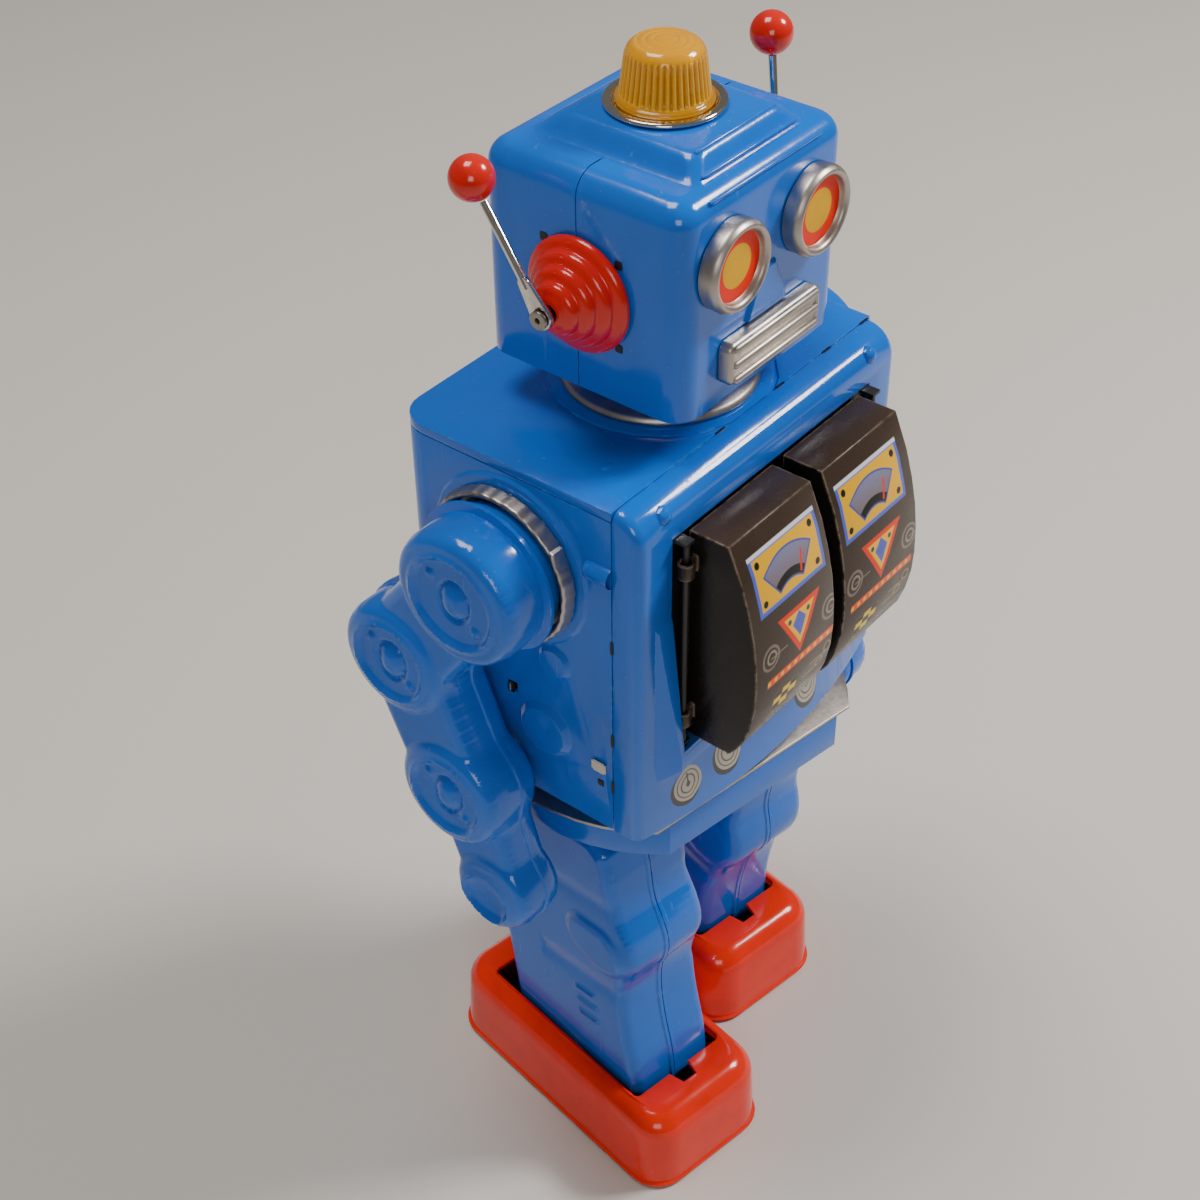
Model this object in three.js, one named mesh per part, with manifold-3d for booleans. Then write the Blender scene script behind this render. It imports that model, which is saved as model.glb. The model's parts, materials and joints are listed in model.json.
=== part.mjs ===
// Walking tin toy robot, about 30 cm tall.
// Millimetres, +Z up, floor at z = 0, chest facing -Y, the robot's right hand side at -X.
// Dimensions are measured from the vertical waist axis; at rest the legs stand turned under the chest.
import * as THREE from "three";
import { mergeVertices } from "three/addons/utils/BufferGeometryUtils.js";
import Module from "manifold-3d";

const wasm = await Module();
wasm.setup();

// ---------------------------------------------------------------- driving dimensions
const GAP = 0.3; // clearance between neighbouring pieces
const TIN = 1.0; // sheet thickness of the pressed shells
const FAR = 400; // reach of the cutting blocks
const SLACK = 0.02; // edges shorter than this are merged away
const DEG = Math.PI / 180;
const MIDDLE_Y = 4.2; // the waist axis stands this far ahead of the middle of the footprint

// head
const HEAD = { halfX: 29.5, front: -28, rear: 27, bottom: 231.8, top: 283.2, round: 6 };
const HUMP_TOP = 287.9; // raised crown that carries the lamp
const EAR = { y: -1.2, z: 256, radius: 13.6, depth: 11 };
const EYE = { x: 14.9, z: 266.1, radius: 10.3 };
const LAMP_Y = -0.5;
const ANTENNA_X = 42.4;
const ANTENNA_LENGTH = 31.9;
const ANTENNA_TILT = { right: 34, left: 5.5 }; // degrees back from upright
const BALL_RADIUS = 5;

// torso
const TORSO = { halfX: 50, front: -33, seam: -25.3, rear: 37, bottom: 126.4, top: 220.7 };
const OPENING = { halfX: 38.7, bottom: 149.5, top: 210.8 };
const BELLY = 6.3; // forward bow of the chest below the doors
const HINGE = { x: 36.6, y: -35.2 };
const DOOR = { inner: 2.2, outer: 33.2, top: 210.3, bottom: 151 };

// arms
const SHOULDER = { y: 3.7, z: 194.8 };
const ELBOW = { y: 25.7, z: 165.7 };
const WRIST = { y: 10.8, z: 130.9 };
const HAND = { y: 0.8, z: 101.1 };
const ARM_SEAM = 57.8; // distance of the parting plane from the middle
const ARM_SWING = { right: 0, left: -8 }; // degrees, the left arm hangs a little further forward

// waist and legs
const LEG_TURN = -9.7; // degrees, legs against the chest
const LEG_SWING = 9.3; // degrees, right leg forward and left leg back
const PELVIS = { radius: 47, front: 36.6, bottom: 109.7, top: 119.4 };
const PLATE = { radius: 50, front: 36.8 };
const HIP = { y: 4, z: 113 };
const LEG_X = 26.2;
const LEG_LENGTH = 93.2; // hip axle to ankle axle
const LEG_FOOT = -98; // lower end of a leg, measured from the hip axle
// offset: how far the ankle pin stands in front of the middle of the shoe
const SHOE = { halfX: 21.3, length: 86, height: 25.4, hem: 0.8, offset: 2 };
const WHEEL_RADIUS = 4.5;

// ---------------------------------------------------------------- materials
const material = (color, roughness, metalness) =>
  new THREE.MeshStandardMaterial({ color, roughness, metalness });
const blue = () => material("#1474c6", 0.28, 0.05);
const red = () => material("#c81f10", 0.3, 0.05);
const scarlet = () => material("#e02c08", 0.3, 0.05);
const silver = () => material("#a59c93", 0.35, 0.8);
const chrome = () => material("#c8c4bd", 0.15, 1.0);
const steel = () => material("#8f8d88", 0.35, 1.0);
const gunmetal = () => material("#3c312a", 0.35, 0.35);
const black = () => material("#16130f", 0.5, 0.1);
const brass = () => material("#b08d4a", 0.3, 0.9);
const nylon = () => material("#d9d4c4", 0.5, 0.0);

// ---------------------------------------------------------------- solids
function solid(geometry) {
  const bare = geometry.index ? geometry.toNonIndexed() : geometry.clone();
  bare.deleteAttribute("normal");
  bare.deleteAttribute("uv");
  const merged = mergeVertices(bare, 1e-4);
  const mesh = new wasm.Mesh({
    numProp: 3,
    vertProperties: merged.attributes.position.array,
    triVerts: new Uint32Array(merged.index.array),
  });
  return new wasm.Manifold(mesh);
}

function meshOf(name, body, look) {
  const raw = body.simplify(SLACK).getMesh();
  const geometry = new THREE.BufferGeometry();
  geometry.setAttribute("position", new THREE.BufferAttribute(raw.vertProperties, 3));
  geometry.setIndex(new THREE.BufferAttribute(raw.triVerts, 1));
  const flat = geometry.toNonIndexed();
  flat.computeVertexNormals();
  const mesh = new THREE.Mesh(flat, look);
  mesh.name = name;
  return mesh;
}

const union = (bodies) => bodies.reduce((whole, body) => whole.add(body));
const cut = (body, tools) => tools.reduce((left, tool) => left.subtract(tool), body);
const mirrorX = (body) => body.mirror([1, 0, 0]);

function box(x0, x1, y0, y1, z0, z1) {
  const geometry = new THREE.BoxGeometry(x1 - x0, y1 - y0, z1 - z0);
  geometry.translate((x0 + x1) / 2, (y0 + y1) / 2, (z0 + z1) / 2);
  return solid(geometry);
}

const AXIS_TURN = {
  x: (geometry) => geometry.rotateZ(-Math.PI / 2),
  y: (geometry) => geometry,
  z: (geometry) => geometry.rotateX(Math.PI / 2),
};

// Round bar whose middle is at (x, y, z).
function bar(axis, radius, length, [x, y, z], sides = 12) {
  const geometry = new THREE.CylinderGeometry(radius, radius, length, sides);
  AXIS_TURN[axis](geometry);
  geometry.translate(x, y, z);
  return solid(geometry);
}

function ball(radius, [x, y, z], stretch = [1, 1, 1], across = 12, down = 8) {
  const geometry = new THREE.SphereGeometry(radius, across, down);
  geometry.scale(...stretch);
  geometry.translate(x, y, z);
  return solid(geometry);
}

// Turned piece: profile points are [radius, height]; the height axis points along `direction`.
const SPIN = {
  "+z": (geometry) => geometry.rotateX(Math.PI / 2),
  "-y": (geometry) => geometry.rotateX(Math.PI),
  "+x": (geometry) => geometry.rotateZ(-Math.PI / 2),
  "-x": (geometry) => geometry.rotateZ(Math.PI / 2),
};

function turned(direction, profile, [x, y, z], sides = 24) {
  const points = profile.map(([radius, height]) => new THREE.Vector2(radius, height));
  const geometry = new THREE.LatheGeometry(points, sides);
  SPIN[direction](geometry);
  geometry.translate(x, y, z);
  return solid(geometry);
}

function polygon(points) {
  return new THREE.Shape(points.map(([u, v]) => new THREE.Vector2(u, v)));
}

function roundedRectangle(u0, u1, v0, v1, radius) {
  const shape = new THREE.Shape();
  shape.moveTo(u0 + radius, v0);
  shape.lineTo(u1 - radius, v0);
  shape.absarc(u1 - radius, v0 + radius, radius, -Math.PI / 2, 0, false);
  shape.lineTo(u1, v1 - radius);
  shape.absarc(u1 - radius, v1 - radius, radius, 0, Math.PI / 2, false);
  shape.lineTo(u0 + radius, v1);
  shape.absarc(u0 + radius, v1 - radius, radius, Math.PI / 2, Math.PI, false);
  shape.lineTo(u0, v0 + radius);
  shape.absarc(u0 + radius, v0 + radius, radius, Math.PI, Math.PI * 1.5, false);
  return shape;
}

function disc(u, v, radius) {
  const shape = new THREE.Shape();
  shape.absarc(u, v, radius, 0, Math.PI * 2, false);
  return shape;
}

// Straight strap between two points, as wide as r0 and r1 at its ends.
function strap([u0, v0], r0, [u1, v1], r1) {
  const along = Math.atan2(v1 - v0, u1 - u0);
  const side = [-Math.sin(along), Math.cos(along)];
  const corner = ([u, v], reach) => [u + side[0] * reach, v + side[1] * reach];
  const ends = [[[u0, v0], r0], [[u0, v0], -r0], [[u1, v1], -r1], [[u1, v1], r1]];
  return polygon(ends.map(([point, reach]) => corner(point, reach)));
}

// Straight-sided link whose ends are rounded about two points.
function link([u0, v0], r0, [u1, v1], r1) {
  const along = Math.atan2(v1 - v0, u1 - u0);
  const shape = new THREE.Shape();
  shape.absarc(u0, v0, r0, along + Math.PI / 2, along + Math.PI * 1.5, false);
  shape.absarc(u1, v1, r1, along - Math.PI / 2, along + Math.PI / 2, false);
  shape.closePath();
  return shape;
}

function extrude(shape, depth, edge, curveSegments, bevelSegments) {
  return new THREE.ExtrudeGeometry(shape, {
    depth: depth - 2 * edge,
    bevelEnabled: edge > 0,
    bevelThickness: edge,
    bevelSize: edge,
    bevelOffset: -edge,
    bevelSegments,
    curveSegments,
  }).translate(0, 0, edge);
}

// Shape drawn in (x, y), thickened upwards.
function alongZ(shape, z0, z1, edge = 0, curve = 3, steps = 2) {
  return solid(extrude(shape, z1 - z0, edge, curve, steps).translate(0, 0, z0));
}

// Shape drawn in (x, z), thickened along Y.
function alongY(shape, y0, y1, edge = 0, curve = 3, steps = 2) {
  const geometry = extrude(shape, y1 - y0, edge, curve, steps);
  return solid(geometry.rotateX(Math.PI / 2).translate(0, y1, 0));
}

// Shape drawn in (y, z), thickened along X.
const YZ_TO_X = new THREE.Matrix4().set(0, 0, 1, 0, 1, 0, 0, 0, 0, 1, 0, 0, 0, 0, 0, 1);
function alongX(shape, x0, x1, edge = 0, curve = 3, steps = 2) {
  const geometry = extrude(shape, x1 - x0, edge, curve, steps);
  return solid(geometry.applyMatrix4(YZ_TO_X).translate(x0, 0, 0));
}

// ---------------------------------------------------------------- assembly groups
const group = new THREE.Group();
group.name = "toy_robot";
const robot = new THREE.Group();
robot.position.y = -MIDDLE_Y;
group.add(robot);
const addTo = (parent, name, body, look) => parent.add(meshOf(name, body, look));

// ---------------------------------------------------------------- head
function headBlock(inset) {
  const { halfX, front, rear, bottom, top, round } = HEAD;
  const outline = roundedRectangle(
    -halfX + inset, halfX - inset, front + inset, rear - inset, round - inset);
  const steps = inset ? 2 : 3;
  const block = alongZ(outline, bottom - 12, top - inset, round - inset - 0.6, steps, steps);
  return block.intersect(box(-FAR, FAR, -FAR, FAR, bottom + inset, FAR));
}

function crown() {
  const hump = polygon([
    [-19.2, HEAD.top - 2], [19.2, HEAD.top - 2], [19.2, HEAD.top - 0.2],
    [15, HUMP_TOP], [-15, HUMP_TOP], [-19.2, HEAD.top - 0.2],
  ]);
  const length = polygon([
    [-23, HEAD.top - 3], [20.5, HEAD.top - 3], [20.5, HEAD.top - 0.2], [14, HUMP_TOP],
    [-16.6, HUMP_TOP], [-17.2, HUMP_TOP - 3.2], [-19.8, HUMP_TOP - 3.2], [-20.8, HEAD.top - 0.6],
  ]);
  return alongY(hump, -24, 21).intersect(alongX(length, -20, 20));
}

function headShells() {
  const hollow = headBlock(TIN);
  const whole = headBlock(0).add(crown());
  const nose = alongY(polygon([[-2.3, 258.5], [-6.9, 248.4], [6.9, 248.4], [2.3, 258.5]]),
    HEAD.front - 0.9, HEAD.front + 0.5);
  const neckHole = bar("z", 12, 20, [0, 0, HEAD.bottom]);
  const lampHole = bar("z", 7.4, 30, [0, LAMP_Y, HEAD.top]);
  const earHoles = bar("x", 2.2, 90, [0, EAR.y, EAR.z], 12);
  const shell = cut(whole.add(nose), [hollow, neckHole, lampHole, earHoles]);
  const frontHalf = box(-FAR, FAR, -FAR, -GAP / 2, 0, FAR);
  const rearHalf = box(-FAR, FAR, GAP / 2, FAR, 0, FAR);
  addTo(robot, "head_front_shell", shell.intersect(frontHalf), blue());
  addTo(robot, "head_rear_shell", shell.intersect(rearHalf), blue());
}

function eyes() {
  const profile = [
    [0, 0.3], [9.9, 0.3], [10.3, 0.9], [10.2, 3.8], [9.3, 4.7], [8.4, 4.4], [8, 3], [0, 2.6],
  ];
  for (const [side, sign] of [["right", -1], ["left", 1]]) {
    addTo(robot, "eye_" + side,
      turned("-y", profile, [sign * EYE.x, HEAD.front, EYE.z], 24), silver());
  }
}

function mouthGrille() {
  const top = 247.5;
  const bottom = 237.2;
  const back = HEAD.front - GAP;
  const plate = alongY(roundedRectangle(-17, 17, bottom, top, 2), back - 4.2, back, 0.9, 1);
  const ribHeights = [0.6, 5.15, 9.7].map((rise) => bottom + rise);
  const grooves = [1, 2].map((row) => {
    const z0 = ribHeights[row - 1] + 0.9;
    const z1 = ribHeights[row] - 0.9;
    return alongY(roundedRectangle(-15.6, 15.6, z0, z1, 1), back - 6, back - 3.1, 0, 1);
  });
  addTo(robot, "mouth_grille", cut(plate, grooves), silver());
}

function earCups() {
  const { radius, depth } = EAR;
  const rings = 4;
  const steps = [];
  for (let ring = 0; ring < rings; ring += 1) {
    const rim = radius - ring * 2.5;
    const base = GAP + (ring * (depth - 1)) / rings;
    steps.push([rim, base + 1.4], [rim - 0.8, base + 2.2]);
  }
  const outside = [[0, GAP], [radius, GAP], ...steps, [2.6, depth], [0, depth]];
  const inside = [[0, -1], [12, -1], [11, 1.6], [5, 7.6], [0, 8.4]];
  for (const [side, sign] of [["right", -1], ["left", 1]]) {
    const direction = sign < 0 ? "-x" : "+x";
    const place = [sign * HEAD.halfX, EAR.y, EAR.z];
    const cup = turned(direction, outside, place, 22);
    const cavity = turned(direction, inside, place, 12);
    const hole = bar("x", 1.9, 40, place, 10);
    addTo(robot, "ear_cup_" + side, cut(cup, [cavity, hole]), red());
  }
}

function antennas() {
  const paddle = link([0, 0], 2.6, [0, 8], 1.5);
  for (const [side, sign] of [["right", -1], ["left", 1]]) {
    const mount = new THREE.Group();
    mount.position.set(sign * ANTENNA_X, EAR.y, EAR.z);
    mount.rotation.x = -ANTENNA_TILT[side] * DEG;
    robot.add(mount);
    const reach = ANTENNA_LENGTH - 7 - BALL_RADIUS;
    const tube = bar("z", 0.95, reach, [0, 0, 7 + reach / 2 - 0.2], 10);
    const flat = alongX(paddle, -0.6, 0.6, 0, 4);
    const eye = bar("x", 1.5, 10, [0, 0, 0], 10);
    addTo(mount, "antenna_rod_" + side, cut(flat.add(tube), [eye]), chrome());
    const knob = ball(BALL_RADIUS, [0, 0, ANTENNA_LENGTH], [1, 1, 1], 16, 10);
    const socket = bar("z", 1.2, 3, [0, 0, ANTENNA_LENGTH - BALL_RADIUS], 8);
    addTo(mount, "antenna_ball_" + side, cut(knob, [socket]), red());
    // tubular rivet that pins the antenna and the ear cup to the head
    const out = ANTENNA_X + 1.2;
    const shank = bar("x", 1.15, out - 26.8, [sign * (out + 26.8) / 2, EAR.y, EAR.z], 8);
    const head = bar("x", 2.2, 0.7, [sign * (out + 0.1), EAR.y, EAR.z], 12);
    const tail = bar("x", 3, 0.8, [sign * 27.2, EAR.y, EAR.z], 8);
    const bore = bar("x", 0.7, 4, [sign * (out + 1), EAR.y, EAR.z], 8);
    addTo(robot, "antenna_rivet_" + side, cut(union([shank, head, tail]), [bore]), brass());
  }
}

// Upright wall with fine flutes, closed by a stepped top.
function flutedDome([x, y, z], foot) {
  const flutes = 18;
  const profile = [
    [0, 0.5], [9.9, 0.5], [9.7, 2.4], [8.9, 10.2], [8.1, 12.2], [6.6, 13.1], [5, 12.9], [4.2, 13.4],
    [0, 13.4],
  ];
  const points = profile.map(([radius, height]) => new THREE.Vector2(radius, height + foot));
  const geometry = new THREE.LatheGeometry(points, flutes * 2);
  const position = geometry.attributes.position;
  for (let i = 0; i < position.count; i += 1) {
    const radius = Math.hypot(position.getX(i), position.getZ(i));
    const height = position.getY(i) - foot;
    const column = Math.round((Math.atan2(position.getZ(i), position.getX(i)) * flutes) / Math.PI);
    if (column % 2 !== 0 && radius > 8.5 && height > 1) {
      const scale = (radius - 0.45) / radius;
      position.setX(i, position.getX(i) * scale);
      position.setZ(i, position.getZ(i) * scale);
    }
  }
  return solid(SPIN["+z"](geometry).translate(x, y, z));
}

function lampUnit() {
  const seat = HUMP_TOP + GAP;
  const ring = [
    [7.6, 0], [13.3, 0], [13.5, 0.5], [13.2, 1.1], [11.6, 1.1], [11.4, 0.6], [7.6, 0.6], [7.6, 0],
  ];
  const place = [0, LAMP_Y, seat];
  addTo(robot, "lamp_ring", turned("+z", ring, place, 24), chrome());
  const foot = 0.6 + GAP;
  const flange = turned("+z", [[0, foot], [10.8, foot], [10.8, foot + 1], [0, foot + 1]], place, 24);
  const crest = flutedDome(place, foot);
  const room = turned("+z", [[0, -2], [8.2, -2], [7.8, foot + 8.6], [6, foot + 11.4], [0, foot + 12]],
    place, 16);
  addTo(robot, "dome_lens", cut(flange.add(crest), [room]), material("#e09a00", 0.2, 0.0));
  const bulbPlace = [0, LAMP_Y, HEAD.top + 3];
  const bulb = [[0, 0], [2.2, 0], [2.2, 4], [3.4, 6.4], [3.3, 9], [2, 10.8], [0, 11.4]];
  addTo(robot, "lamp_bulb", turned("+z", bulb, bulbPlace, 12), material("#ffe6b0", 0.1, 0.0));
  const holder = turned("+z", [[0, -9], [4, -9], [4, -0.4], [2.6, -0.4], [2.6, -1], [0, -1]],
    bulbPlace, 12);
  const strap = box(-12, 12, LAMP_Y - 4, LAMP_Y + 4, HEAD.top - 6.6, HEAD.top - 5.8);
  const legs = [-1, 1].map((sign) => {
    const x = sign * 12;
    return box(x - 0.5, x + 0.5, LAMP_Y - 4, LAMP_Y + 4, HEAD.top - 6.6, HEAD.top - TIN - GAP);
  });
  addTo(robot, "lamp_socket", union([holder, strap, ...legs]), brass());
}

function neckCollar() {
  const low = TORSO.top + GAP;
  const high = HEAD.bottom - GAP;
  const profile = [
    [9, low], [23, low], [23.3, low + 0.7], [22.9, low + 1.6], [20, low + 3], [18.4, low + 5.6],
    [18, high], [16.6, high], [16.6, low + 1.2], [9, low + 1.2], [9, low],
  ];
  addTo(robot, "neck_collar", turned("+z", profile, [0, 0, 0], 24), silver());
}

// ---------------------------------------------------------------- torso
function chestProfile(inset) {
  const { front, top } = TORSO;
  const radius = 7.6 - inset;
  const shape = new THREE.Shape();
  shape.moveTo(0, 90);
  shape.lineTo(0, top - inset);
  shape.lineTo(front + 7.6, top - inset);
  shape.absarc(front + 7.6, top - 7.6, radius, Math.PI / 2, Math.PI, false);
  shape.lineTo(front + inset, 90);
  return shape;
}

// Forward bow under the chest opening: nothing at its upper edge, deepest at the hem.
function belly(inset) {
  const { halfX, front, bottom } = TORSO;
  const high = OPENING.bottom - 1;
  const steps = 12;
  const points = [];
  for (let i = 0; i <= steps; i += 1) {
    const x = (halfX - 2.6) * (1 - (2 * i) / steps);
    points.push([x, front + inset - BELLY * (1 - (x / (halfX - 2.6)) ** 2) - 0.01]);
  }
  const plan = polygon([[halfX - 2.6, -26], ...points, [2.6 - halfX, -26]]);
  const geometry = extrude(plan, high - bottom, 0, 1, 1).translate(0, 0, bottom);
  const position = geometry.attributes.position;
  for (let i = 0; i < position.count; i += 1) {
    const bow = Math.min(0, position.getY(i) - front - inset);
    const share = (high - position.getZ(i)) / (high - bottom);
    position.setY(i, position.getY(i) - bow * (1 - share));
  }
  return solid(geometry);
}

// Raised surround that grows forward towards the foot of the chest opening.
function doorSurround() {
  const { front } = TORSO;
  const { bottom } = OPENING;
  const side = polygon([
    [front + 0.9, 190], [front, 189], [front - 0.5, 187.5], [front - 4.6, bottom - 0.5],
    [front - 4.6, bottom - 4], [front + 0.9, bottom - 8],
  ]);
  const plan = polygon([
    [-44.6, front + 0.9], [-44.6, front], [-39.6, front - 4.8], [39.6, front - 4.8],
    [44.6, front], [44.6, front + 0.9],
  ]);
  return alongX(side, -46, 46).intersect(alongZ(plan, bottom - 10, 192));
}

function chestShell() {
  const { halfX, front, seam, bottom, top } = TORSO;
  const outside = alongX(chestProfile(0), -halfX, halfX, 2.6, 4, 3);
  const inside = alongX(chestProfile(TIN), -halfX + TIN, halfX - TIN, 1.8, 2, 1);
  const window = box(-OPENING.halfX, OPENING.halfX, -60, -20, OPENING.bottom, OPENING.top);
  const bearings = [-1, 1].map((sign) => box(
    Math.min(sign * 38.9, sign * 31.5), Math.max(sign * 38.9, sign * 31.5),
    front - 4.5, front - 1, OPENING.bottom - 1, OPENING.bottom + 1.2));
  const bumps = [-1, 1].map((sign) =>
    ball(2.4, [sign * 40, front + 2.2, top - 3.7], [1, 1, 1], 8, 6));
  const behind = box(-FAR, FAR, seam, FAR, 0, FAR);
  const below = box(-FAR, FAR, -FAR, FAR, 0, bottom);
  const sheet = cut(outside, [inside, behind, below]);
  const room = belly(TIN).translate([0, 0, -TIN]);
  const whole = union([sheet, belly(0), doorSurround(), ...bumps]);
  const hinges = [-1, 1].map((sign) =>
    bar("z", 1.3, 8, [sign * HINGE.x, HINGE.y, OPENING.bottom + 2], 8));
  const behindSheet = inside.intersect(box(-FAR, FAR, -31.9, 0, 0, FAR));
  const trimmed = cut(whole, [room, window, behindSheet]);
  addTo(robot, "chest_shell", cut(trimmed.add(union(bearings)), hinges), blue());
}

function backOutline(inset) {
  const { halfX, seam, rear } = TORSO;
  const radius = 8 - inset;
  const shape = new THREE.Shape();
  shape.moveTo(-halfX + inset, seam + GAP);
  shape.lineTo(halfX - inset, seam + GAP);
  shape.absarc(halfX - 8, rear - 8, radius, 0, Math.PI / 2, false);
  shape.absarc(-halfX + 8, rear - 8, radius, Math.PI / 2, Math.PI, false);
  shape.closePath();
  return shape;
}

const BATTERY_DOOR = { halfX: 34, bottom: 131, top: 196 };

// Sides and back wrapped from one sheet, open at the front.
function backShell() {
  const { bottom, top, rear, halfX } = TORSO;
  const high = top - 2.6;
  const wrap = alongZ(backOutline(0), bottom, high).subtract(
    alongZ(backOutline(TIN), bottom - 1, high + 1));
  const open = wrap.subtract(box(-halfX + TIN, halfX - TIN, -40, -20, 0, FAR));
  const embosses = [];
  for (const sign of [-1, 1]) {
    const x = sign * halfX;
    const out = sign < 0 ? "-x" : "+x";
    const raised = (radius, height) => [
      [0, -0.5], [radius, -0.5], [radius, 0], [radius - height, height], [0, height],
    ];
    embosses.push(turned(out, raised(22.6, 0.7), [x, SHOULDER.y, SHOULDER.z], 24));
    embosses.push(turned(out, raised(8, 1.5), [x, -5, 148], 14));
    embosses.push(turned(out, raised(5, 1.2), [x, -8.4, 170.6], 10));
  }
  const inward = box(-halfX + TIN + 0.01, halfX - TIN - 0.01, -FAR, rear - TIN - 0.01, 0, FAR);
  const { halfX: doorX, bottom: doorBottom, top: doorTop } = BATTERY_DOOR;
  const cutouts = [
    box(-doorX + 3, doorX - 3, rear - 5, rear + 5, doorBottom + 3, doorTop - 3),
    box(-7, 7, rear - 5, rear + 5, 203.5, 207.5),
    bar("x", 3.3, 120, [0, SHOULDER.y, SHOULDER.z], 16),
  ];
  for (const sign of [-1, 1]) {
    cutouts.push(box(sign * halfX - 3, sign * halfX + 3, 3.6, 5.4, 154.5, 157.5));
    cutouts.push(box(sign * halfX - 3, sign * halfX + 3, -22.6, -20.2, 143.8, 146.2));
  }
  const raisedWork = embosses.map((emboss) => emboss.subtract(inward));
  addTo(robot, "back_shell", cut(union([open, ...raisedWork]), cutouts), blue());
}

function torsoTop() {
  const { seam, top } = TORSO;
  const plate = alongZ(backOutline(0), top - 2.3, top);
  const rim = alongZ(backOutline(TIN), top - 5, top - TIN)
    .intersect(box(-FAR, FAR, seam + GAP + TIN, FAR, 0, FAR));
  const above = box(-FAR, FAR, -FAR, FAR, top - TIN, FAR);
  const bumps = [-1, 1].map((sign) =>
    ball(4.4, [sign * 37, -14, top - 3.9], [1, 1, 1], 10, 8).intersect(above));
  const neck = bar("z", 9.5, 20, [0, 0, top], 20);
  const groove = [[26, -0.4], [27.4, -0.4], [27.4, 3], [26, 3], [26, -0.4]];
  const gutter = turned("+z", groove, [0, 0, top], 22);
  const tray = plate.subtract(rim).add(union(bumps));
  addTo(robot, "torso_top", cut(tray, [neck, gutter]), blue());
}

function torsoBase() {
  const { halfX, rear, bottom, front } = TORSO;
  const inset = TIN + GAP;
  const flat = roundedRectangle(-halfX + inset, halfX - inset, front + inset + 0.3, rear - inset, 6.6);
  const plate = alongZ(flat, bottom + 0.6, bottom + 1.8, 0, 2);
  const hole = bar("z", 5.4, 20, [0, 0, bottom], 16);
  addTo(robot, "torso_base", cut(plate, [hole]), steel());
}

function batteryDoor() {
  const { halfX, bottom, top } = BATTERY_DOOR;
  const back = TORSO.rear + GAP;
  const panel = alongY(roundedRectangle(-halfX, halfX, bottom, top, 3), back, back + 1.4, 0.3, 2, 1);
  const grip = alongY(roundedRectangle(-8, 8, top - 7, top - 4.6, 1), back, back + 2.6, 0, 1);
  const louvres = [18, 24, 30, 36].map((rise) =>
    box(-16, 16, back + 1, back + 2, bottom + rise, bottom + rise + 2));
  const barrel = bar("x", 1.1, 2 * halfX - 8, [0, back + 0.9, bottom + 0.2], 8);
  addTo(robot, "battery_door", union([panel, grip, ...louvres, barrel]), blue());
}

function powerSwitch() {
  const { rear } = TORSO;
  const plate = box(-6, 6, rear - TIN - 1.3, rear - TIN - GAP, 202.6, 208.4);
  const stem = box(-1.5, 1.5, rear - TIN - 1.3, rear + 3, 204, 207);
  const knob = alongY(roundedRectangle(-2.6, 2.6, 203.8, 207.2, 0.8), rear + 0.4, rear + 3.2, 0, 1);
  addTo(robot, "power_switch", union([plate, stem, knob]), black());
}

// Bowed side profile of a chest door, foot to top.
const DOOR_FRONT = [
  [-46.2, 151], [-48, 153.4], [-49.6, 156], [-51.3, 161], [-52.5, 167], [-52.8, 173],
  [-52.5, 180], [-51.6, 187], [-50, 194], [-47.9, 201], [-45.6, 206.4], [-43.9, 210.3],
];

function doorProfile(inset) {
  const low = DOOR.bottom + inset;
  const high = DOOR.top - inset;
  const front = DOOR_FRONT.map(([y, z]) => [y + inset, THREE.MathUtils.clamp(z, low, high)]);
  return polygon([[-33.4, high], [-33.4, low], ...front]);
}

function chestDoors() {
  const skin = 1.2;
  const outside = alongX(doorProfile(0), DOOR.inner, DOOR.outer, 0);
  const inside = alongX(doorProfile(skin), DOOR.inner + skin, DOOR.outer - skin, 0);
  const mouth = box(
    DOOR.inner + skin, DOOR.outer - skin, -35, FAR, DOOR.bottom + skin, DOOR.top - skin);
  const opened = cut(outside, [inside, mouth]);
  const knuckles = [DOOR.bottom + 6, DOOR.top - 10].map((z) => {
    const arm = box(DOOR.outer - 0.6, HINGE.x, HINGE.y - 0.6, HINGE.y + 0.6, z, z + 4);
    return arm.add(bar("z", 2, 4, [HINGE.x, HINGE.y, z + 2], 12));
  });
  const pinHole = bar("z", 1.2, 120, [HINGE.x, HINGE.y, 180], 12);
  const door = cut(union([opened, ...knuckles]), [pinHole]);
  addTo(robot, "chest_door_left", door, gunmetal());
  addTo(robot, "chest_door_right", mirrorX(door), gunmetal());
}

// Upright pin with the strip that holds it against the edge of the opening.
function doorHinges() {
  const low = OPENING.bottom + 1.6;
  const high = OPENING.top - 0.4;
  const pin = bar("z", 0.85, high - low, [HINGE.x, HINGE.y, (high + low) / 2], 12);
  const strip = box(33, 38.4, TORSO.front + TIN + 0.4, TORSO.front + TIN + 1.2, low, high);
  const ends = [low, high - 0.8].map((z) =>
    box(35.2, 38.2, HINGE.y - 1.2, TORSO.front + TIN + 0.8, z, z + 0.8));
  const bracket = union([pin, strip, ...ends]);
  addTo(robot, "door_hinge_left", bracket, steel());
  addTo(robot, "door_hinge_right", mirrorX(bracket), steel());
}

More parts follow.
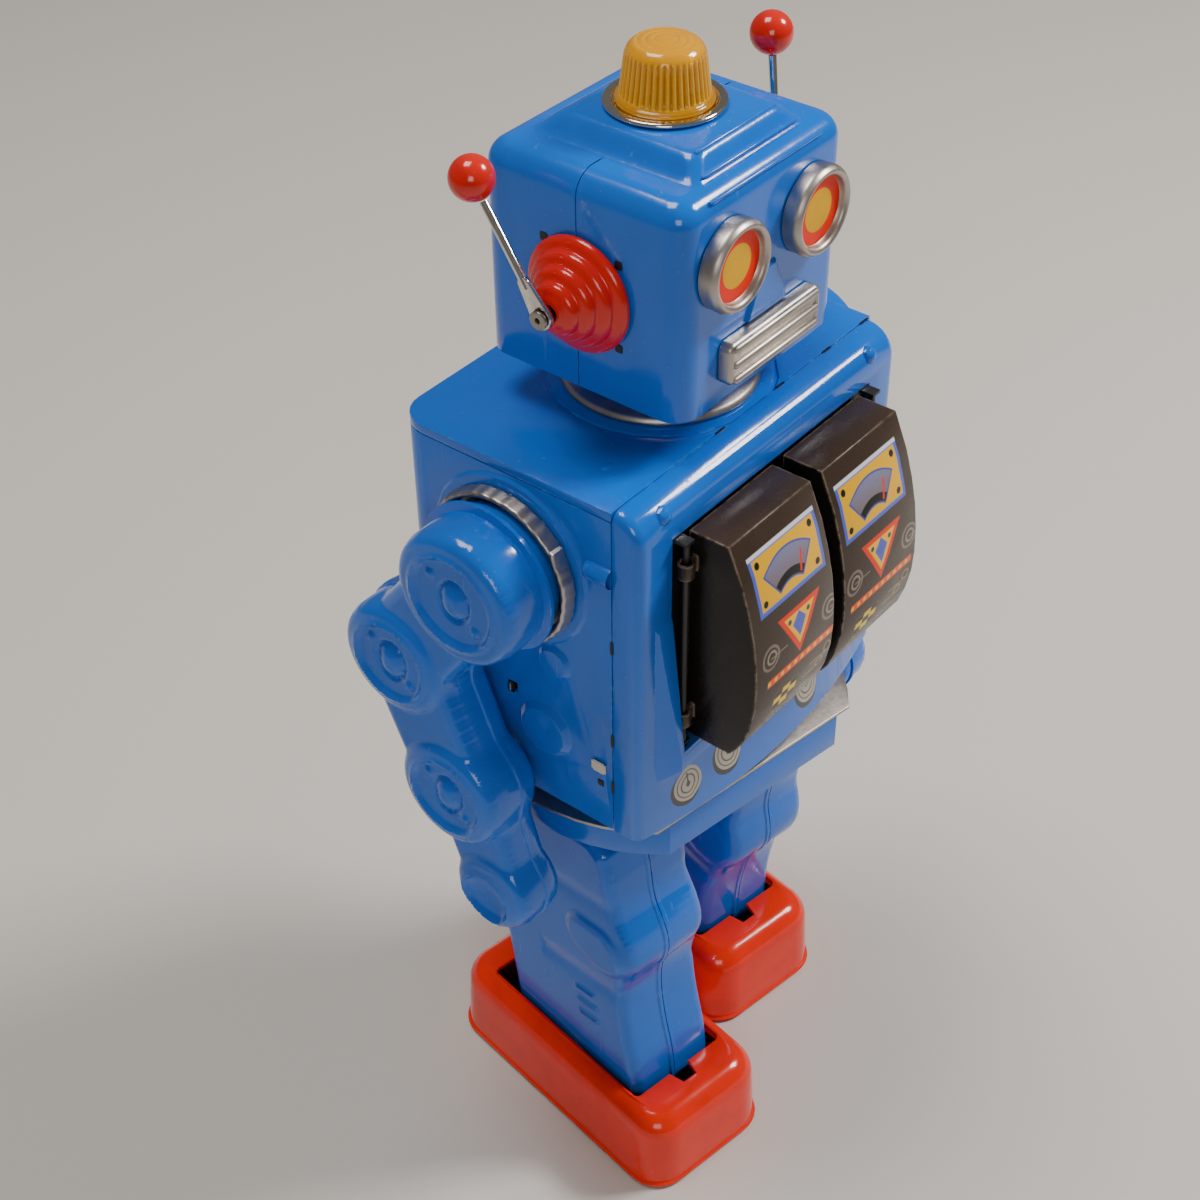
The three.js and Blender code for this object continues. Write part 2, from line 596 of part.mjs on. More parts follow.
function gunCarriage() {
  const base = alongY(roundedRectangle(-29, 29, 170, 190, 3), -15, -11, 0, 2);
  const barrels = [];
  for (const x of [-24, -11, 11, 24]) {
    barrels.push(bar("y", 4.2, 6, [x, -17.4, 180], 10));
    barrels.push(bar("y", 2.6, 12, [x, -25, 180], 10));
  }
  const bores = [-24, -11, 11, 24].map((x) => bar("y", 1.5, 16, [x, -31, 180], 6));
  const foot = box(-1, 16.4, -16, -9.6, 168.3, 172);
  addTo(robot, "gun_carriage", cut(union([base, foot, ...barrels]), bores), black());
}

function powerPack() {
  const cell = { radius: 16.3, height: 58, x: 17 };
  const low = TORSO.bottom + 5;
  const y0 = -1;
  const y1 = TORSO.rear - TIN - GAP - 0.2;
  const shell = box(-36, 36, y0, y1, low, low + 68);
  const room = box(-34.8, 34.8, y0 + 1.2, y1 + 5, low + 1.2, low + 66.8);
  addTo(robot, "battery_case", cut(shell, [room]), nylon());
  const cellY = y0 + 1.2 + GAP + cell.radius;
  for (const [side, sign] of [["right", -1], ["left", 1]]) {
    const profile = [
      [0, 0], [cell.radius, 0], [cell.radius, cell.height], [5, cell.height],
      [4.6, cell.height + 2], [0, cell.height + 2],
    ];
    const place = [sign * cell.x, cellY, low + 1.6];
    addTo(robot, "battery_" + side, turned("+z", profile, place, 20), material("#3a3d42", 0.35, 0.4));
  }
}

// Toothed disc about X; its thickness runs from x0 to x1.
function spurGear(teeth, phase, tipRadius, rootRadius, boreRadius, x0, x1, y, z) {
  const points = [];
  for (let i = 0; i < teeth; i += 1) {
    const flanks = [[0.24, rootRadius], [0.38, tipRadius], [0.62, tipRadius], [0.76, rootRadius]];
    for (const [part, radius] of flanks) {
      const angle = phase + ((i + part) * 2 * Math.PI) / teeth;
      points.push([y + radius * Math.cos(angle), z + radius * Math.sin(angle)]);
    }
  }
  const wheel = alongX(polygon(points), x0, x1);
  return cut(wheel, [bar("x", boreRadius, 80, [0, y, z], 12)]);
}

function driveTrain() {
  const motor = { y: -18.6, z: 138.5, radius: 9.6 };
  const gear = { y: -18.6, z: motor.z + 16.5 };
  const can = bar("x", motor.radius, 26, [-16, motor.y, motor.z], 20);
  const boss = bar("x", 3, 2, [-2.4, motor.y, motor.z], 10);
  const foot = box(-28, -4, motor.y - 6, motor.y + 6, TORSO.bottom + 1.8 + GAP, motor.z - 4);
  const shaftHole = bar("x", 1.2, 6, [-1.5, motor.y, motor.z], 8);
  addTo(robot, "drive_motor", cut(union([can, boss, foot]), [shaftHole]), steel());
  const pinionShaft = bar("x", 0.8, 14, [4, motor.y, motor.z], 8);
  // a pinion gap faces the tooth that points straight down from the larger gear
  const pinionPhase = Math.PI / 2;
  const gearPhase = -Math.PI / 2 - Math.PI / 18;
  const pinion = spurGear(8, pinionPhase, 6, 3.6, 0.4, 3.4, 7.4, motor.y, motor.z);
  addTo(robot, "motor_pinion", pinion.add(pinionShaft), brass());
  const wheel = spurGear(18, gearPhase, 12.25, 9.85, 1.1, 3.8, 6.8, gear.y, gear.z);
  const wheelShaft = bar("x", 1.2, 16.4, [8, gear.y, gear.z], 8);
  addTo(robot, "drive_gear", wheel.add(wheelShaft), nylon());
  const low = TORSO.bottom + 1.8 + GAP;
  const plates = [[0.8, 2], [13.4, 14.6]].map(([x0, x1]) =>
    box(x0, x1, -27, -9.4, low, 168));
  const floor = box(0.8, 14.6, -27, -9.4, low, low + 1.2);
  const bearings = [bar("x", 1.5, 60, [8, gear.y, gear.z], 12), bar("x", 1.1, 60, [8, motor.y, motor.z], 12)];
  addTo(robot, "gearbox_frame", cut(union([...plates, floor]), bearings), steel());
}

// ---------------------------------------------------------------- arms
function armOutline(grow) {
  const s = [SHOULDER.y, SHOULDER.z];
  const e = [ELBOW.y, ELBOW.z];
  const w = [WRIST.y, WRIST.z];
  const h = [HAND.y, HAND.z];
  return {
    discs: [[s, 17.2 + grow], [e, 15.1 + grow], [w, 15.1 + grow], [h, 11.7 + grow]],
    links: [
      strap(s, 12 + grow, e, 13 + grow),
      strap(e, 13 + grow, w, 12.6 + grow),
      strap(w, 11 + grow, h, 10 + grow),
    ],
  };
}

// Four discs joined by three links; x0 and x1 hold the near and far face of each disc.
function armBlank(x0, x1, grow, edge, steps) {
  const { discs, links } = armOutline(grow);
  const curve = edge ? 10 : 5;
  const parts = discs.map(([[y, z], radius], i) =>
    alongX(disc(y, z, radius), x0[i], x1[i], edge, curve, steps));
  links.forEach((shape, i) => {
    const low = Math.max(x0[i], x0[i + 1]) + (i === 0 ? 3.6 : 1);
    const high = Math.min(x1[i], x1[i + 1]) - 1;
    parts.push(alongX(shape, low, high, Math.min(edge, 2.4), 1, 1));
  });
  return union(parts);
}

// Raised ring round an oval boss, pressed into the outer face of each arm joint.
function armFace([y, z], x, radius) {
  const ring = [[radius - 0.9, -0.6], [radius + 0.9, -0.6], [radius, 0.7], [radius - 0.9, -0.6]];
  const oval = ball(1, [x, y, z], [1.5, 2.7, 3.9], 8, 4);
  return turned("+x", ring, [x, y, z], 20).add(oval);
}

function arms() {
  const seam = ARM_SEAM;
  const wall = 1.2;
  const outX = [70.6, 70, 69.8, 67.2];
  const inX = [52.1, 52.5, 52.5, 53];
  const same = (value) => [value, value, value, value];
  const deep = seam - 40;
  // each half is pressed as a closed block that runs past the parting plane, then trimmed to it
  const outerBlank = armBlank(same(deep), outX, 0, 3.2, 2);
  const outerRoom = armBlank(same(deep - 2), outX.map((x) => x - wall), -2 * wall, 0, 0);
  const innerBlank = armBlank(inX, same(seam + 40), 0, 2.6, 1);
  const innerRoom = armBlank(inX.map((x) => x + wall), same(seam + 42), -2 * wall, 0, 0);
  const flange = bar("x", 19.1, 1.2, [seam - 0.9, SHOULDER.y, SHOULDER.z], 24);
  const outerSide = box(seam + GAP / 2, FAR, -FAR, FAR, 0, FAR);
  const innerSide = box(0, seam - GAP / 2, -FAR, FAR, 0, FAR);
  const faces = [
    armFace([SHOULDER.y, SHOULDER.z], outX[0], 11.3),
    armFace([ELBOW.y, ELBOW.z], outX[1], 10.4),
    armFace([WRIST.y, WRIST.z], outX[2], 10.4),
  ];
  const dish = (x, depth, radius) =>
    ball(1, [x, HAND.y + 1.4, HAND.z - 2.6], [depth, radius, radius], 10, 6);
  const palm = dish(outX[3] + 1.2, 5.4, 6.8);
  const innerPalm = dish(inX[3] - 1.2, 3, 6.6);
  const palmSkin = dish(outX[3] + 1.2, 6.6, 8);
  const innerSkin = dish(inX[3] - 1.2, 4.2, 7.8);
  const axleHole = bar("x", 3.3, 14, [54, SHOULDER.y, SHOULDER.z], 12);
  const outer = cut(outerBlank, [outerRoom.subtract(palmSkin), palm]).intersect(outerSide);
  const inner = cut(innerBlank.add(flange), [innerRoom.subtract(innerSkin), innerPalm, axleHole])
    .intersect(innerSide);
  const outerHalf = union([outer, ...faces]);
  const cup = turned("+x", [
    [3.4, GAP], [19.4, GAP], [19.9, 0.8], [19.6, 4.2], [18.9, 4.6], [18.2, 4.2], [17.8, 0.7],
    [3.4, 0.7], [3.4, GAP],
  ], [TORSO.halfX + 0.7, SHOULDER.y, SHOULDER.z], 26);
  const axle = union([
    bar("x", 2.9, 15, [49.1, SHOULDER.y, SHOULDER.z], 12),
    bar("x", 5.5, 1.6, [46.6, SHOULDER.y, SHOULDER.z], 14),
    bar("x", 5.5, 1.6, [54.4, SHOULDER.y, SHOULDER.z], 14),
  ]);
  const pieces = [
    ["arm_outer_half", outerHalf, blue], ["arm_inner_half", inner, blue],
    ["shoulder_ring", cup, silver], ["shoulder_axle", axle, steel],
  ];
  for (const [side, sign] of [["left", 1], ["right", -1]]) {
    const swing = new THREE.Group();
    swing.position.set(0, SHOULDER.y, SHOULDER.z);
    swing.rotation.x = ARM_SWING[side] * DEG;
    robot.add(swing);
    for (const [name, body, look] of pieces) {
      const centred = body.translate([0, -SHOULDER.y, -SHOULDER.z]);
      addTo(swing, name + "_" + side, sign > 0 ? centred : mirrorX(centred), look());
    }
  }
}

// ---------------------------------------------------------------- waist
const lower = new THREE.Group();
lower.rotation.z = LEG_TURN * DEG;
robot.add(lower);

function waistOutline(radius, front) {
  const turn = Math.asin(front / radius);
  const shape = new THREE.Shape();
  shape.absarc(0, 0, radius, -turn, turn, false);
  shape.absarc(0, 0, radius, Math.PI - turn, Math.PI + turn, false);
  shape.closePath();
  return shape;
}

function waist() {
  const { radius, front, bottom, top } = PELVIS;
  const outside = alongZ(waistOutline(radius, front), bottom, top, 0, 6);
  const inside = alongZ(waistOutline(radius - TIN, front - TIN), bottom - 1, top - TIN, 0, 4);
  const cheeks = [-43.6, -10.4, 9.2, 42.4].map((x) =>
    box(x, x + 1.2, HIP.y - 5, HIP.y + 5, HIP.z - 4.6, top - 0.4));
  const axleHole = bar("x", 2.1, 120, [0, HIP.y, HIP.z], 12);
  const hub = bar("z", 5.3, 20, [0, 0, top], 16);
  addTo(lower, "pelvis", cut(cut(outside, [inside]).add(union(cheeks)), [axleHole, hub]), blue());
  const plate = alongZ(waistOutline(PLATE.radius, PLATE.front), top + GAP, top + GAP + 1, 0, 6);
  const low = top + GAP + 0.5;
  const high = TORSO.bottom + 0.2;
  const rise = turned("+z", [[28, low], [31, low], [30, high], [28, high], [28, low]], [0, 0, 0], 22);
  addTo(lower, "turntable", cut(plate.add(rise), [hub]), silver());
  const shaft = union([
    bar("z", 5, 13.4, [0, 0, 123.4], 16),
    bar("z", 8.4, 1.6, [0, 0, 129.7], 16),
    bar("z", 7.6, 1, [0, 0, top - TIN - 0.9], 16),
  ]);
  addTo(lower, "waist_shaft", shaft, steel());
  const axle = union([
    bar("x", 1.8, 89.4, [0, HIP.y, HIP.z], 10),
    bar("x", 2.8, 0.7, [-44.35, HIP.y, HIP.z], 10),
    bar("x", 2.8, 0.7, [44.35, HIP.y, HIP.z], 10),
  ]);
  addTo(lower, "hip_axle", axle, steel());
}

// ---------------------------------------------------------------- legs
// Front edge of a leg from the hip down, as (y, z) about the hip axle.
const LEG_FRONT = [
  [-26.6, -21], [-26.4, -33], [-28.8, -38.5], [-29.8, -43], [-29, -49.5], [-25.4, -57],
  [-24.1, -66], [-24.2, -76], [-25.6, -88], [-25, LEG_FOOT],
];
const LEG_REAR = 25.2;

function legOutline(grow) {
  const front = LEG_FRONT.map(([y, z]) => [y - grow, Math.max(z, LEG_FOOT - grow)]);
  const low = LEG_FOOT - grow;
  const points = [
    [LEG_REAR + grow, low], [LEG_REAR + grow, -13], [LEG_REAR - 4 + grow, -9 + grow],
    [-21 - grow, -9 + grow], [-25.4 - grow, -13], ...front.slice(0, -1), [-25 - grow, low],
  ];
  return polygon(points);
}

function legHalf(grow, x1, edge) {
  const curve = edge ? 4 : 3;
  const body = alongX(legOutline(grow), -20, x1, edge, 1);
  const knee = link([-18, -46], 9.6 + grow, [-20, -46], 9.6 + grow);
  return body.add(alongX(knee, -20, x1 + 0.6, edge, curve));
}

function legs() {
  const depth = 13.6;
  const wall = 1.2;
  const seam = 0.25;
  const blank = legHalf(0, depth, 3.4);
  const room = legHalf(-2 * wall, depth - wall, 0);
  const louvres = [-67.6, -72.2, -76.8].map((z) =>
    box(depth - 0.5, depth + 0.7, -13, -5.6, z, z + 2));
  const axleHoles = [
    bar("x", 2.1, 60, [0, 0, 0], 10),
    bar("x", 1.8, 60, [0, 0, -LEG_LENGTH], 10),
  ];
  const hanger = alongX(link([0, -13], 4.6, [0, 0], 4.6), depth - 1.2, depth, 0, 4);
  const half = blank.subtract(room).add(hanger);
  const open = cut(half, axleHoles).intersect(box(seam, FAR, -FAR, FAR, -FAR, FAR));
  // the knee roll runs round onto the outer side of the leg
  const lobe = alongX(link([-19.6, -46], 8.8, [-13, -44.5], 7.6), depth - 1.4, depth + 2, 1.8, 4);
  const outer = union([open, lobe, ...louvres]);
  for (const [side, sign] of [["right", -1], ["left", 1]]) {
    const swing = new THREE.Group();
    swing.position.set(sign * LEG_X, HIP.y, HIP.z);
    swing.rotation.x = sign * LEG_SWING * DEG;
    lower.add(swing);
    addTo(swing, "leg_outer_half_" + side, sign > 0 ? outer : mirrorX(outer), blue());
    addTo(swing, "leg_inner_half_" + side, sign > 0 ? mirrorX(open) : open, blue());
  }
}

// ---------------------------------------------------------------- feet
// Solid form of a shoe: sides lean in towards a rounded top.
function shoeBlock(inset) {
  const { halfX, length, height, hem } = SHOE;
  const edge = 6.5;
  const reach = length / 2 - inset - edge;
  const side = halfX - inset - edge;
  const low = inset ? hem - 12 : hem - 10;
  const outline = roundedRectangle(-side, side, -reach, reach, 3);
  const geometry = new THREE.ExtrudeGeometry(outline, {
    depth: height - inset - edge - low,
    bevelEnabled: true,
    bevelThickness: edge,
    bevelSize: edge,
    bevelSegments: inset ? 2 : 3,
    curveSegments: inset ? 1 : 2,
  }).translate(0, 0, low);
  const position = geometry.attributes.position;
  for (let i = 0; i < position.count; i += 1) {
    const rise = Math.max(0, (position.getZ(i) - hem) / height);
    position.setX(i, position.getX(i) * (1 - 0.04 * rise));
    position.setY(i, position.getY(i) * (1 - 0.025 * rise));
  }
  return solid(geometry);
}

function shoeShell() {
  const { hem, halfX, length } = SHOE;
  const mouth = alongZ(roundedRectangle(-15.8, 15.8, -28.9, 31, 2), 10, 40, 0, 1);
  const notch = box(-2.4, 2.4, -33.4, -20, 10, 40);
  const outside = shoeBlock(0).intersect(box(-FAR, FAR, -FAR, FAR, hem, FAR));
  const hemRing = alongZ(
    roundedRectangle(-halfX - 0.4, halfX + 0.4, -length / 2 - 0.4, length / 2 + 0.4, 9.9),
    hem, hem + 0.9, 0, 3);
  return cut(outside.add(hemRing), [shoeBlock(TIN), mouth, notch]);
}

const AXLE_OFFSETS = [["front", -29], ["rear", 29]];
const ANKLE_HEIGHT = HIP.z - LEG_LENGTH * Math.cos(LEG_SWING * DEG);

// Sole plate with upright lugs that carry the ankle pin and the wheel axles.
function solePlate() {
  const { hem, halfX, length, offset } = SHOE;
  const clear = TIN + 0.8;
  const outline = roundedRectangle(
    -halfX + clear, halfX - clear, -length / 2 + clear, length / 2 - clear, 9.4);
  const plate = alongZ(outline, hem + 0.6, hem + 1.6, 0, 2);
  const lugs = [];
  const holes = [];
  for (const x of [-15.4, 14.5]) {
    lugs.push(box(x, x + 0.9, -offset - 4, -offset + 4, hem + 1, ANKLE_HEIGHT + 3));
  }
  for (const [, y] of AXLE_OFFSETS) {
    lugs.push(box(-1.5, 1.5, y - 2.6, y + 2.6, hem + 1, WHEEL_RADIUS + 2.4));
    holes.push(bar("x", 1.1, 6, [0, y, WHEEL_RADIUS], 8));
    holes.push(box(-9.4, -4.4, y - 5.4, y + 5.4, -5, 20));
    holes.push(box(4.4, 9.4, y - 5.4, y + 5.4, -5, 20));
  }
  const pin = bar("x", 1.5, 30.8, [0, -offset, ANKLE_HEIGHT], 10);
  return cut(plate.add(union(lugs)), holes).add(pin);
}

function wheelset(y) {
  return union([
    bar("x", 0.8, 16, [0, y, WHEEL_RADIUS], 8),
    bar("x", WHEEL_RADIUS, 3.6, [-6.9, y, WHEEL_RADIUS], 16),
    bar("x", WHEEL_RADIUS, 3.6, [6.9, y, WHEEL_RADIUS], 16),
  ]);
}

function feet() {
  const shoe = shoeShell();
  const sole = solePlate();
  for (const [side, sign] of [["right", -1], ["left", 1]]) {
    const shift = Math.sin(sign * LEG_SWING * DEG) * LEG_LENGTH;
    const foot = new THREE.Group();
    foot.position.set(sign * LEG_X, HIP.y + shift + SHOE.offset, 0);
    lower.add(foot);
    addTo(foot, "shoe_" + side, shoe, scarlet());
    addTo(foot, "sole_plate_" + side, sole, steel());
    for (const [end, y] of AXLE_OFFSETS) {
      addTo(foot, "wheelset_" + end + "_" + side, wheelset(y), black());
    }
  }
}

headShells();
eyes();
mouthGrille();
earCups();
antennas();
lampUnit();
neckCollar();
chestShell();
backShell();
torsoTop();
torsoBase();
batteryDoor();
powerSwitch();
chestDoors();
doorHinges();
gunCarriage();
powerPack();
driveTrain();
arms();
waist();
legs();
feet();

export default group;
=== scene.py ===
import json
import math

import bmesh
import bpy
import numpy as np
from mathutils import Matrix, Vector


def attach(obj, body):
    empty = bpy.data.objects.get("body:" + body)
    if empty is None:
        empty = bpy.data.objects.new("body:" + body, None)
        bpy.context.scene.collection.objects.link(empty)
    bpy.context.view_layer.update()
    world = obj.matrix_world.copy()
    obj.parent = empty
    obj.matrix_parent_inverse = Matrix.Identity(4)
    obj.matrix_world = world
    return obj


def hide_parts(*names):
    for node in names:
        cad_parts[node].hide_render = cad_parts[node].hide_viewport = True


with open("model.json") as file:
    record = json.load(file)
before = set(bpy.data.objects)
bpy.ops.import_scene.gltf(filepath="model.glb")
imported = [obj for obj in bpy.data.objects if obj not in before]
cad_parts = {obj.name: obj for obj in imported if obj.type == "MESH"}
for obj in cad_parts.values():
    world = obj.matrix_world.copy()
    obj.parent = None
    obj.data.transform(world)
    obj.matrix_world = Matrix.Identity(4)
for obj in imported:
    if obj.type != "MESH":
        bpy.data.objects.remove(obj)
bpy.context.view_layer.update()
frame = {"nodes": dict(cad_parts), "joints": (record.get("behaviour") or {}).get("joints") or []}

joint_at = {joint["name"]: joint.get("pos_m") for joint in frame["joints"]}
WAIST_Y = joint_at["waist_turn"][1]
MM = 0.001
PER_METRE = 1000.0
SIDES = (("right", -1), ("left", 1))


def place(point):
    """A point in millimetres about the waist axis, as a place in the row frame."""
    return (point[0] * MM, WAIST_Y + point[1] * MM, point[2] * MM)


# ------------------------------------------------------------------ node graphs
class Field:
    """A value that varies over a surface: one output of a shader node tree."""

    def __init__(self, tree, socket):
        self.tree = tree
        self.socket = socket

    def calc(self, operation, *others):
        node = self.tree.nodes.new("ShaderNodeMath")
        node.operation = operation
        for slot, value in zip(node.inputs, (self, *others)):
            if isinstance(value, Field):
                self.tree.links.new(value.socket, slot)
            else:
                slot.default_value = value
        return Field(self.tree, node.outputs[0])

    def __add__(self, other):
        return self.calc("ADD", other)

    def __sub__(self, other):
        return self.calc("SUBTRACT", other)

    def __mul__(self, other):
        return self.calc("MULTIPLY", other)

    def __truediv__(self, other):
        return self.calc("DIVIDE", other)

    def __abs__(self):
        return self.calc("ABSOLUTE")

    def bigger(self, other):
        return self.calc("MAXIMUM", other)

    def cover(self, blur=0.12):
        """1 where a signed distance in millimetres is negative, 0 outside."""
        node = self.tree.nodes.new("ShaderNodeMapRange")
        self.tree.links.new(self.socket, node.inputs["Value"])
        node.inputs["From Min"].default_value = blur
        node.inputs["From Max"].default_value = -blur
        return Field(self.tree, node.outputs[0])


def rectangle(u, v, u0, u1, v0, v1):
    return (abs(u - (u0 + u1) / 2) - abs(u1 - u0) / 2).bigger(abs(v - (v0 + v1) / 2) - abs(v1 - v0) / 2)


def circle(u, v, cu, cv, radius):
    du, dv = u - cu, v - cv
    return (du * du + dv * dv).calc("SQRT") - radius


def wedge(u, v, corners):
    """Signed distance of a convex outline, corners given anticlockwise."""
    whole = None
    for (au, av), (bu, bv) in zip(corners, corners[1:] + corners[:1]):
        length = math.hypot(bu - au, bv - av)
        nu, nv = (bv - av) / length, (au - bu) / length
        side = u * nu + v * nv - (au * nu + av * nv)
        whole = side if whole is None else whole.bigger(side)
    return whole


class Finish:
    """A Principled material whose colour, gloss and bump are built up in layers."""

    def __init__(self, name, colour, rough, metal=0.0, coat=0.0):
        self.material = bpy.data.materials.new(name)
        self.material.use_nodes = True
        self.tree = self.material.node_tree
        self.shader = self.tree.nodes["Principled BSDF"]
        self.shader.inputs["Metallic"].default_value = metal
        self.shader.inputs["Coat Weight"].default_value = coat
        self.shader.inputs["Coat Roughness"].default_value = 0.06
        self.coords = self.tree.nodes.new("ShaderNodeTexCoord")
        split = self.tree.nodes.new("ShaderNodeSeparateXYZ")
        self.tree.links.new(self.coords.outputs["Object"], split.inputs[0])
        x, y, z = (Field(self.tree, out) for out in split.outputs)
        self.x = x * PER_METRE
        self.y = (y - WAIST_Y) * PER_METRE
        self.z = z * PER_METRE
        self.colour = self.plain(colour)
        self.rough = self.x * 0.0 + rough
        self.height = None

    def plain(self, colour):
        node = self.tree.nodes.new("ShaderNodeRGB")
        node.outputs[0].default_value = (*colour, 1.0)
        return node.outputs[0]

    def normal(self):
        split = self.tree.nodes.new("ShaderNodeSeparateXYZ")
        self.tree.links.new(self.coords.outputs["Normal"], split.inputs[0])
        return [Field(self.tree, out) for out in split.outputs]

    def noise(self, size, detail=2.0, stretch=(1, 1, 1), seed=0.0):
        """Smooth random pattern whose blobs are about `size` millimetres across."""
        mapping = self.tree.nodes.new("ShaderNodeMapping")
        mapping.inputs["Scale"].default_value = stretch
        mapping.inputs["Location"].default_value = (seed, seed * 0.7, seed * 0.3)
        self.tree.links.new(self.coords.outputs["Object"], mapping.inputs["Vector"])
        node = self.tree.nodes.new("ShaderNodeTexNoise")
        node.inputs["Scale"].default_value = PER_METRE / size
        node.inputs["Detail"].default_value = detail
        self.tree.links.new(mapping.outputs[0], node.inputs["Vector"])
        return Field(self.tree, node.outputs["Fac"])

    def band(self, field, low, high):
        node = self.tree.nodes.new("ShaderNodeMapRange")
        self.tree.links.new(field.socket, node.inputs["Value"])
        node.inputs["From Min"].default_value = low
        node.inputs["From Max"].default_value = high
        return Field(self.tree, node.outputs[0])

    def lay(self, mask, colour):
        """Puts a colour over the surface where mask is 1."""
        node = self.tree.nodes.new("ShaderNodeMix")
        node.data_type = "RGBA"
        self.tree.links.new(mask.socket, node.inputs["Factor"])
        self.tree.links.new(self.colour, node.inputs[6])
        if isinstance(colour, tuple):
            node.inputs[7].default_value = (*colour, 1.0)
        else:
            self.tree.links.new(colour, node.inputs[7])
        self.colour = node.outputs[2]
        return self

    def gloss(self, field):
        self.rough = self.rough + field
        return self

    def raise_by(self, field):
        self.height = field if self.height is None else self.height + field
        return self

    def edge_wear(self, colour, radius, amount):
        """Lighter, rubbed edges, broken up by noise."""
        bevel = self.tree.nodes.new("ShaderNodeBevel")
        bevel.samples = 4
        bevel.inputs["Radius"].default_value = radius * MM
        true = self.tree.nodes.new("ShaderNodeNewGeometry")
        dot = self.tree.nodes.new("ShaderNodeVectorMath")
        dot.operation = "DOT_PRODUCT"
        self.tree.links.new(bevel.outputs[0], dot.inputs[0])
        self.tree.links.new(true.outputs["Normal"], dot.inputs[1])
        edge = self.band(Field(self.tree, dot.outputs["Value"]), 0.995, 0.86)
        worn = edge * self.band(self.noise(3.0, 5.0), 0.62 - amount * 0.3, 0.75 - amount * 0.3)
        return self.lay(worn, colour)

    def done(self, bump=0.00002, strength=0.3):
        self.tree.links.new(self.colour, self.shader.inputs["Base Color"])
        self.tree.links.new(self.rough.socket, self.shader.inputs["Roughness"])
        if self.height is not None:
            node = self.tree.nodes.new("ShaderNodeBump")
            node.inputs["Strength"].default_value = strength
            node.inputs["Distance"].default_value = bump
            self.tree.links.new(self.height.socket, node.inputs["Height"])
            self.tree.links.new(node.outputs[0], self.shader.inputs["Normal"])
        return self.material


# ------------------------------------------------------------------ materials
BLUE = (0.0, 0.145, 0.70)


def enamel(name, colour, dials=False):
    """Glossy baked enamel on tin: soft mottling, orange peel, dust and fine rubs."""
    f = Finish(name, colour, 0.15, 0.0, 0.25)
    f.shader.inputs["Specular IOR Level"].default_value = 0.42
    darker = tuple(c * 0.78 for c in colour)
    paler = tuple(min(1.0, c * 1.12 + 0.003) for c in colour)
    f.lay(f.band(f.noise(28, 3), 0.42, 0.72) * 0.5, darker)
    f.lay(f.band(f.noise(9, 4, seed=3.1), 0.55, 0.8) * 0.35, paler)
    scuff = f.band(f.noise(2.2, 6, (1, 1, 0.12), 7.7), 0.66, 0.74)
    f.lay(scuff * 0.10, (0.20, 0.36, 0.62))
    specks = f.band(f.noise(0.7, 1, seed=11.0), 0.77, 0.8)
    f.lay(specks * 0.3, (0.35, 0.45, 0.55))
    if dials:
        paint_dials(f)
        facing_back = f.normal()[1]
        f.lay(f.band(facing_back, 0.35, 0.6) * f.band(f.z, 148.0, 150.0), (0.006, 0.005, 0.004))
    f.gloss(f.noise(14, 3, seed=5.0) * 0.12 - 0.05).gloss(scuff * 0.25)
    f.raise_by(f.noise(5, 2, seed=9.0) * 1.5).raise_by(f.noise(0.9, 2) * 0.25)
    f.edge_wear((0.10, 0.34, 0.75), 0.5, 0.3)
    return f.done(0.00010, 0.35)


def paint_dials(f):
    """Three small generic printed dials along the foot of the chest."""
    front = f.band(f.y, -33.2, -34.2)
    for cx, cz in ((-33.7, 135.3), (-19.0, 135.7), (14.0, 134.7)):
        ring = circle(f.x, f.z, cx, cz, 4.7)
        f.lay(circle(f.x, f.z, cx - 0.7, cz - 0.7, 5.1).cover() * front, (0.01, 0.01, 0.012))
        f.lay(ring.cover() * front, (0.50, 0.45, 0.38))
        f.lay((abs(ring + 1.0) - 0.16).cover() * front, (0.05, 0.045, 0.045))
        f.lay((abs(ring + 2.3) - 0.22).cover() * front, (0.06, 0.05, 0.05))
        f.lay(circle(f.x, f.z, cx, cz, 0.8).cover() * front, (0.03, 0.03, 0.03))
        pointer = rectangle(f.x, f.z, cx - 0.3, cx + 0.3, cz, cz + 3.2)
        f.lay(pointer.cover() * front, (0.03, 0.03, 0.03))


def plastic(name, colour, rough=0.2, coat=0.5, swirl=(1, 1, 1), shine=0.45):
    f = Finish(name, colour, rough, 0.0, coat)
    f.shader.inputs["Specular IOR Level"].default_value = shine
    f.lay(f.band(f.noise(8, 4, swirl), 0.4, 0.75) * 0.4, tuple(c * 0.68 for c in colour))
    f.lay(f.band(f.noise(1.1, 5, seed=4.0), 0.68, 0.78) * 0.25, tuple(min(1, c + 0.2) for c in colour))
    f.gloss(f.noise(6, 3, seed=2.0) * 0.16 - 0.06)
    f.raise_by(f.noise(3, 3, swirl, 6.0))
    return f.done(0.00008, 0.35)


def metal(name, colour, rough, grain=(1, 1, 1), grime=0.35):
    f = Finish(name, colour, rough, 1.0)
    f.lay(f.band(f.noise(6, 5, seed=1.0), 0.5, 0.78) * grime, tuple(c * 0.35 for c in colour))
    f.lay(f.band(f.noise(1.2, 4, grain, 8.0), 0.45, 0.7) * 0.3, tuple(min(1, c * 1.3) for c in colour))
    f.gloss(f.noise(1.6, 4, grain, 2.0) * 0.22 - 0.1)
    f.raise_by(f.noise(0.8, 3, grain, 5.0))
    return f.done(0.00004, 0.4)


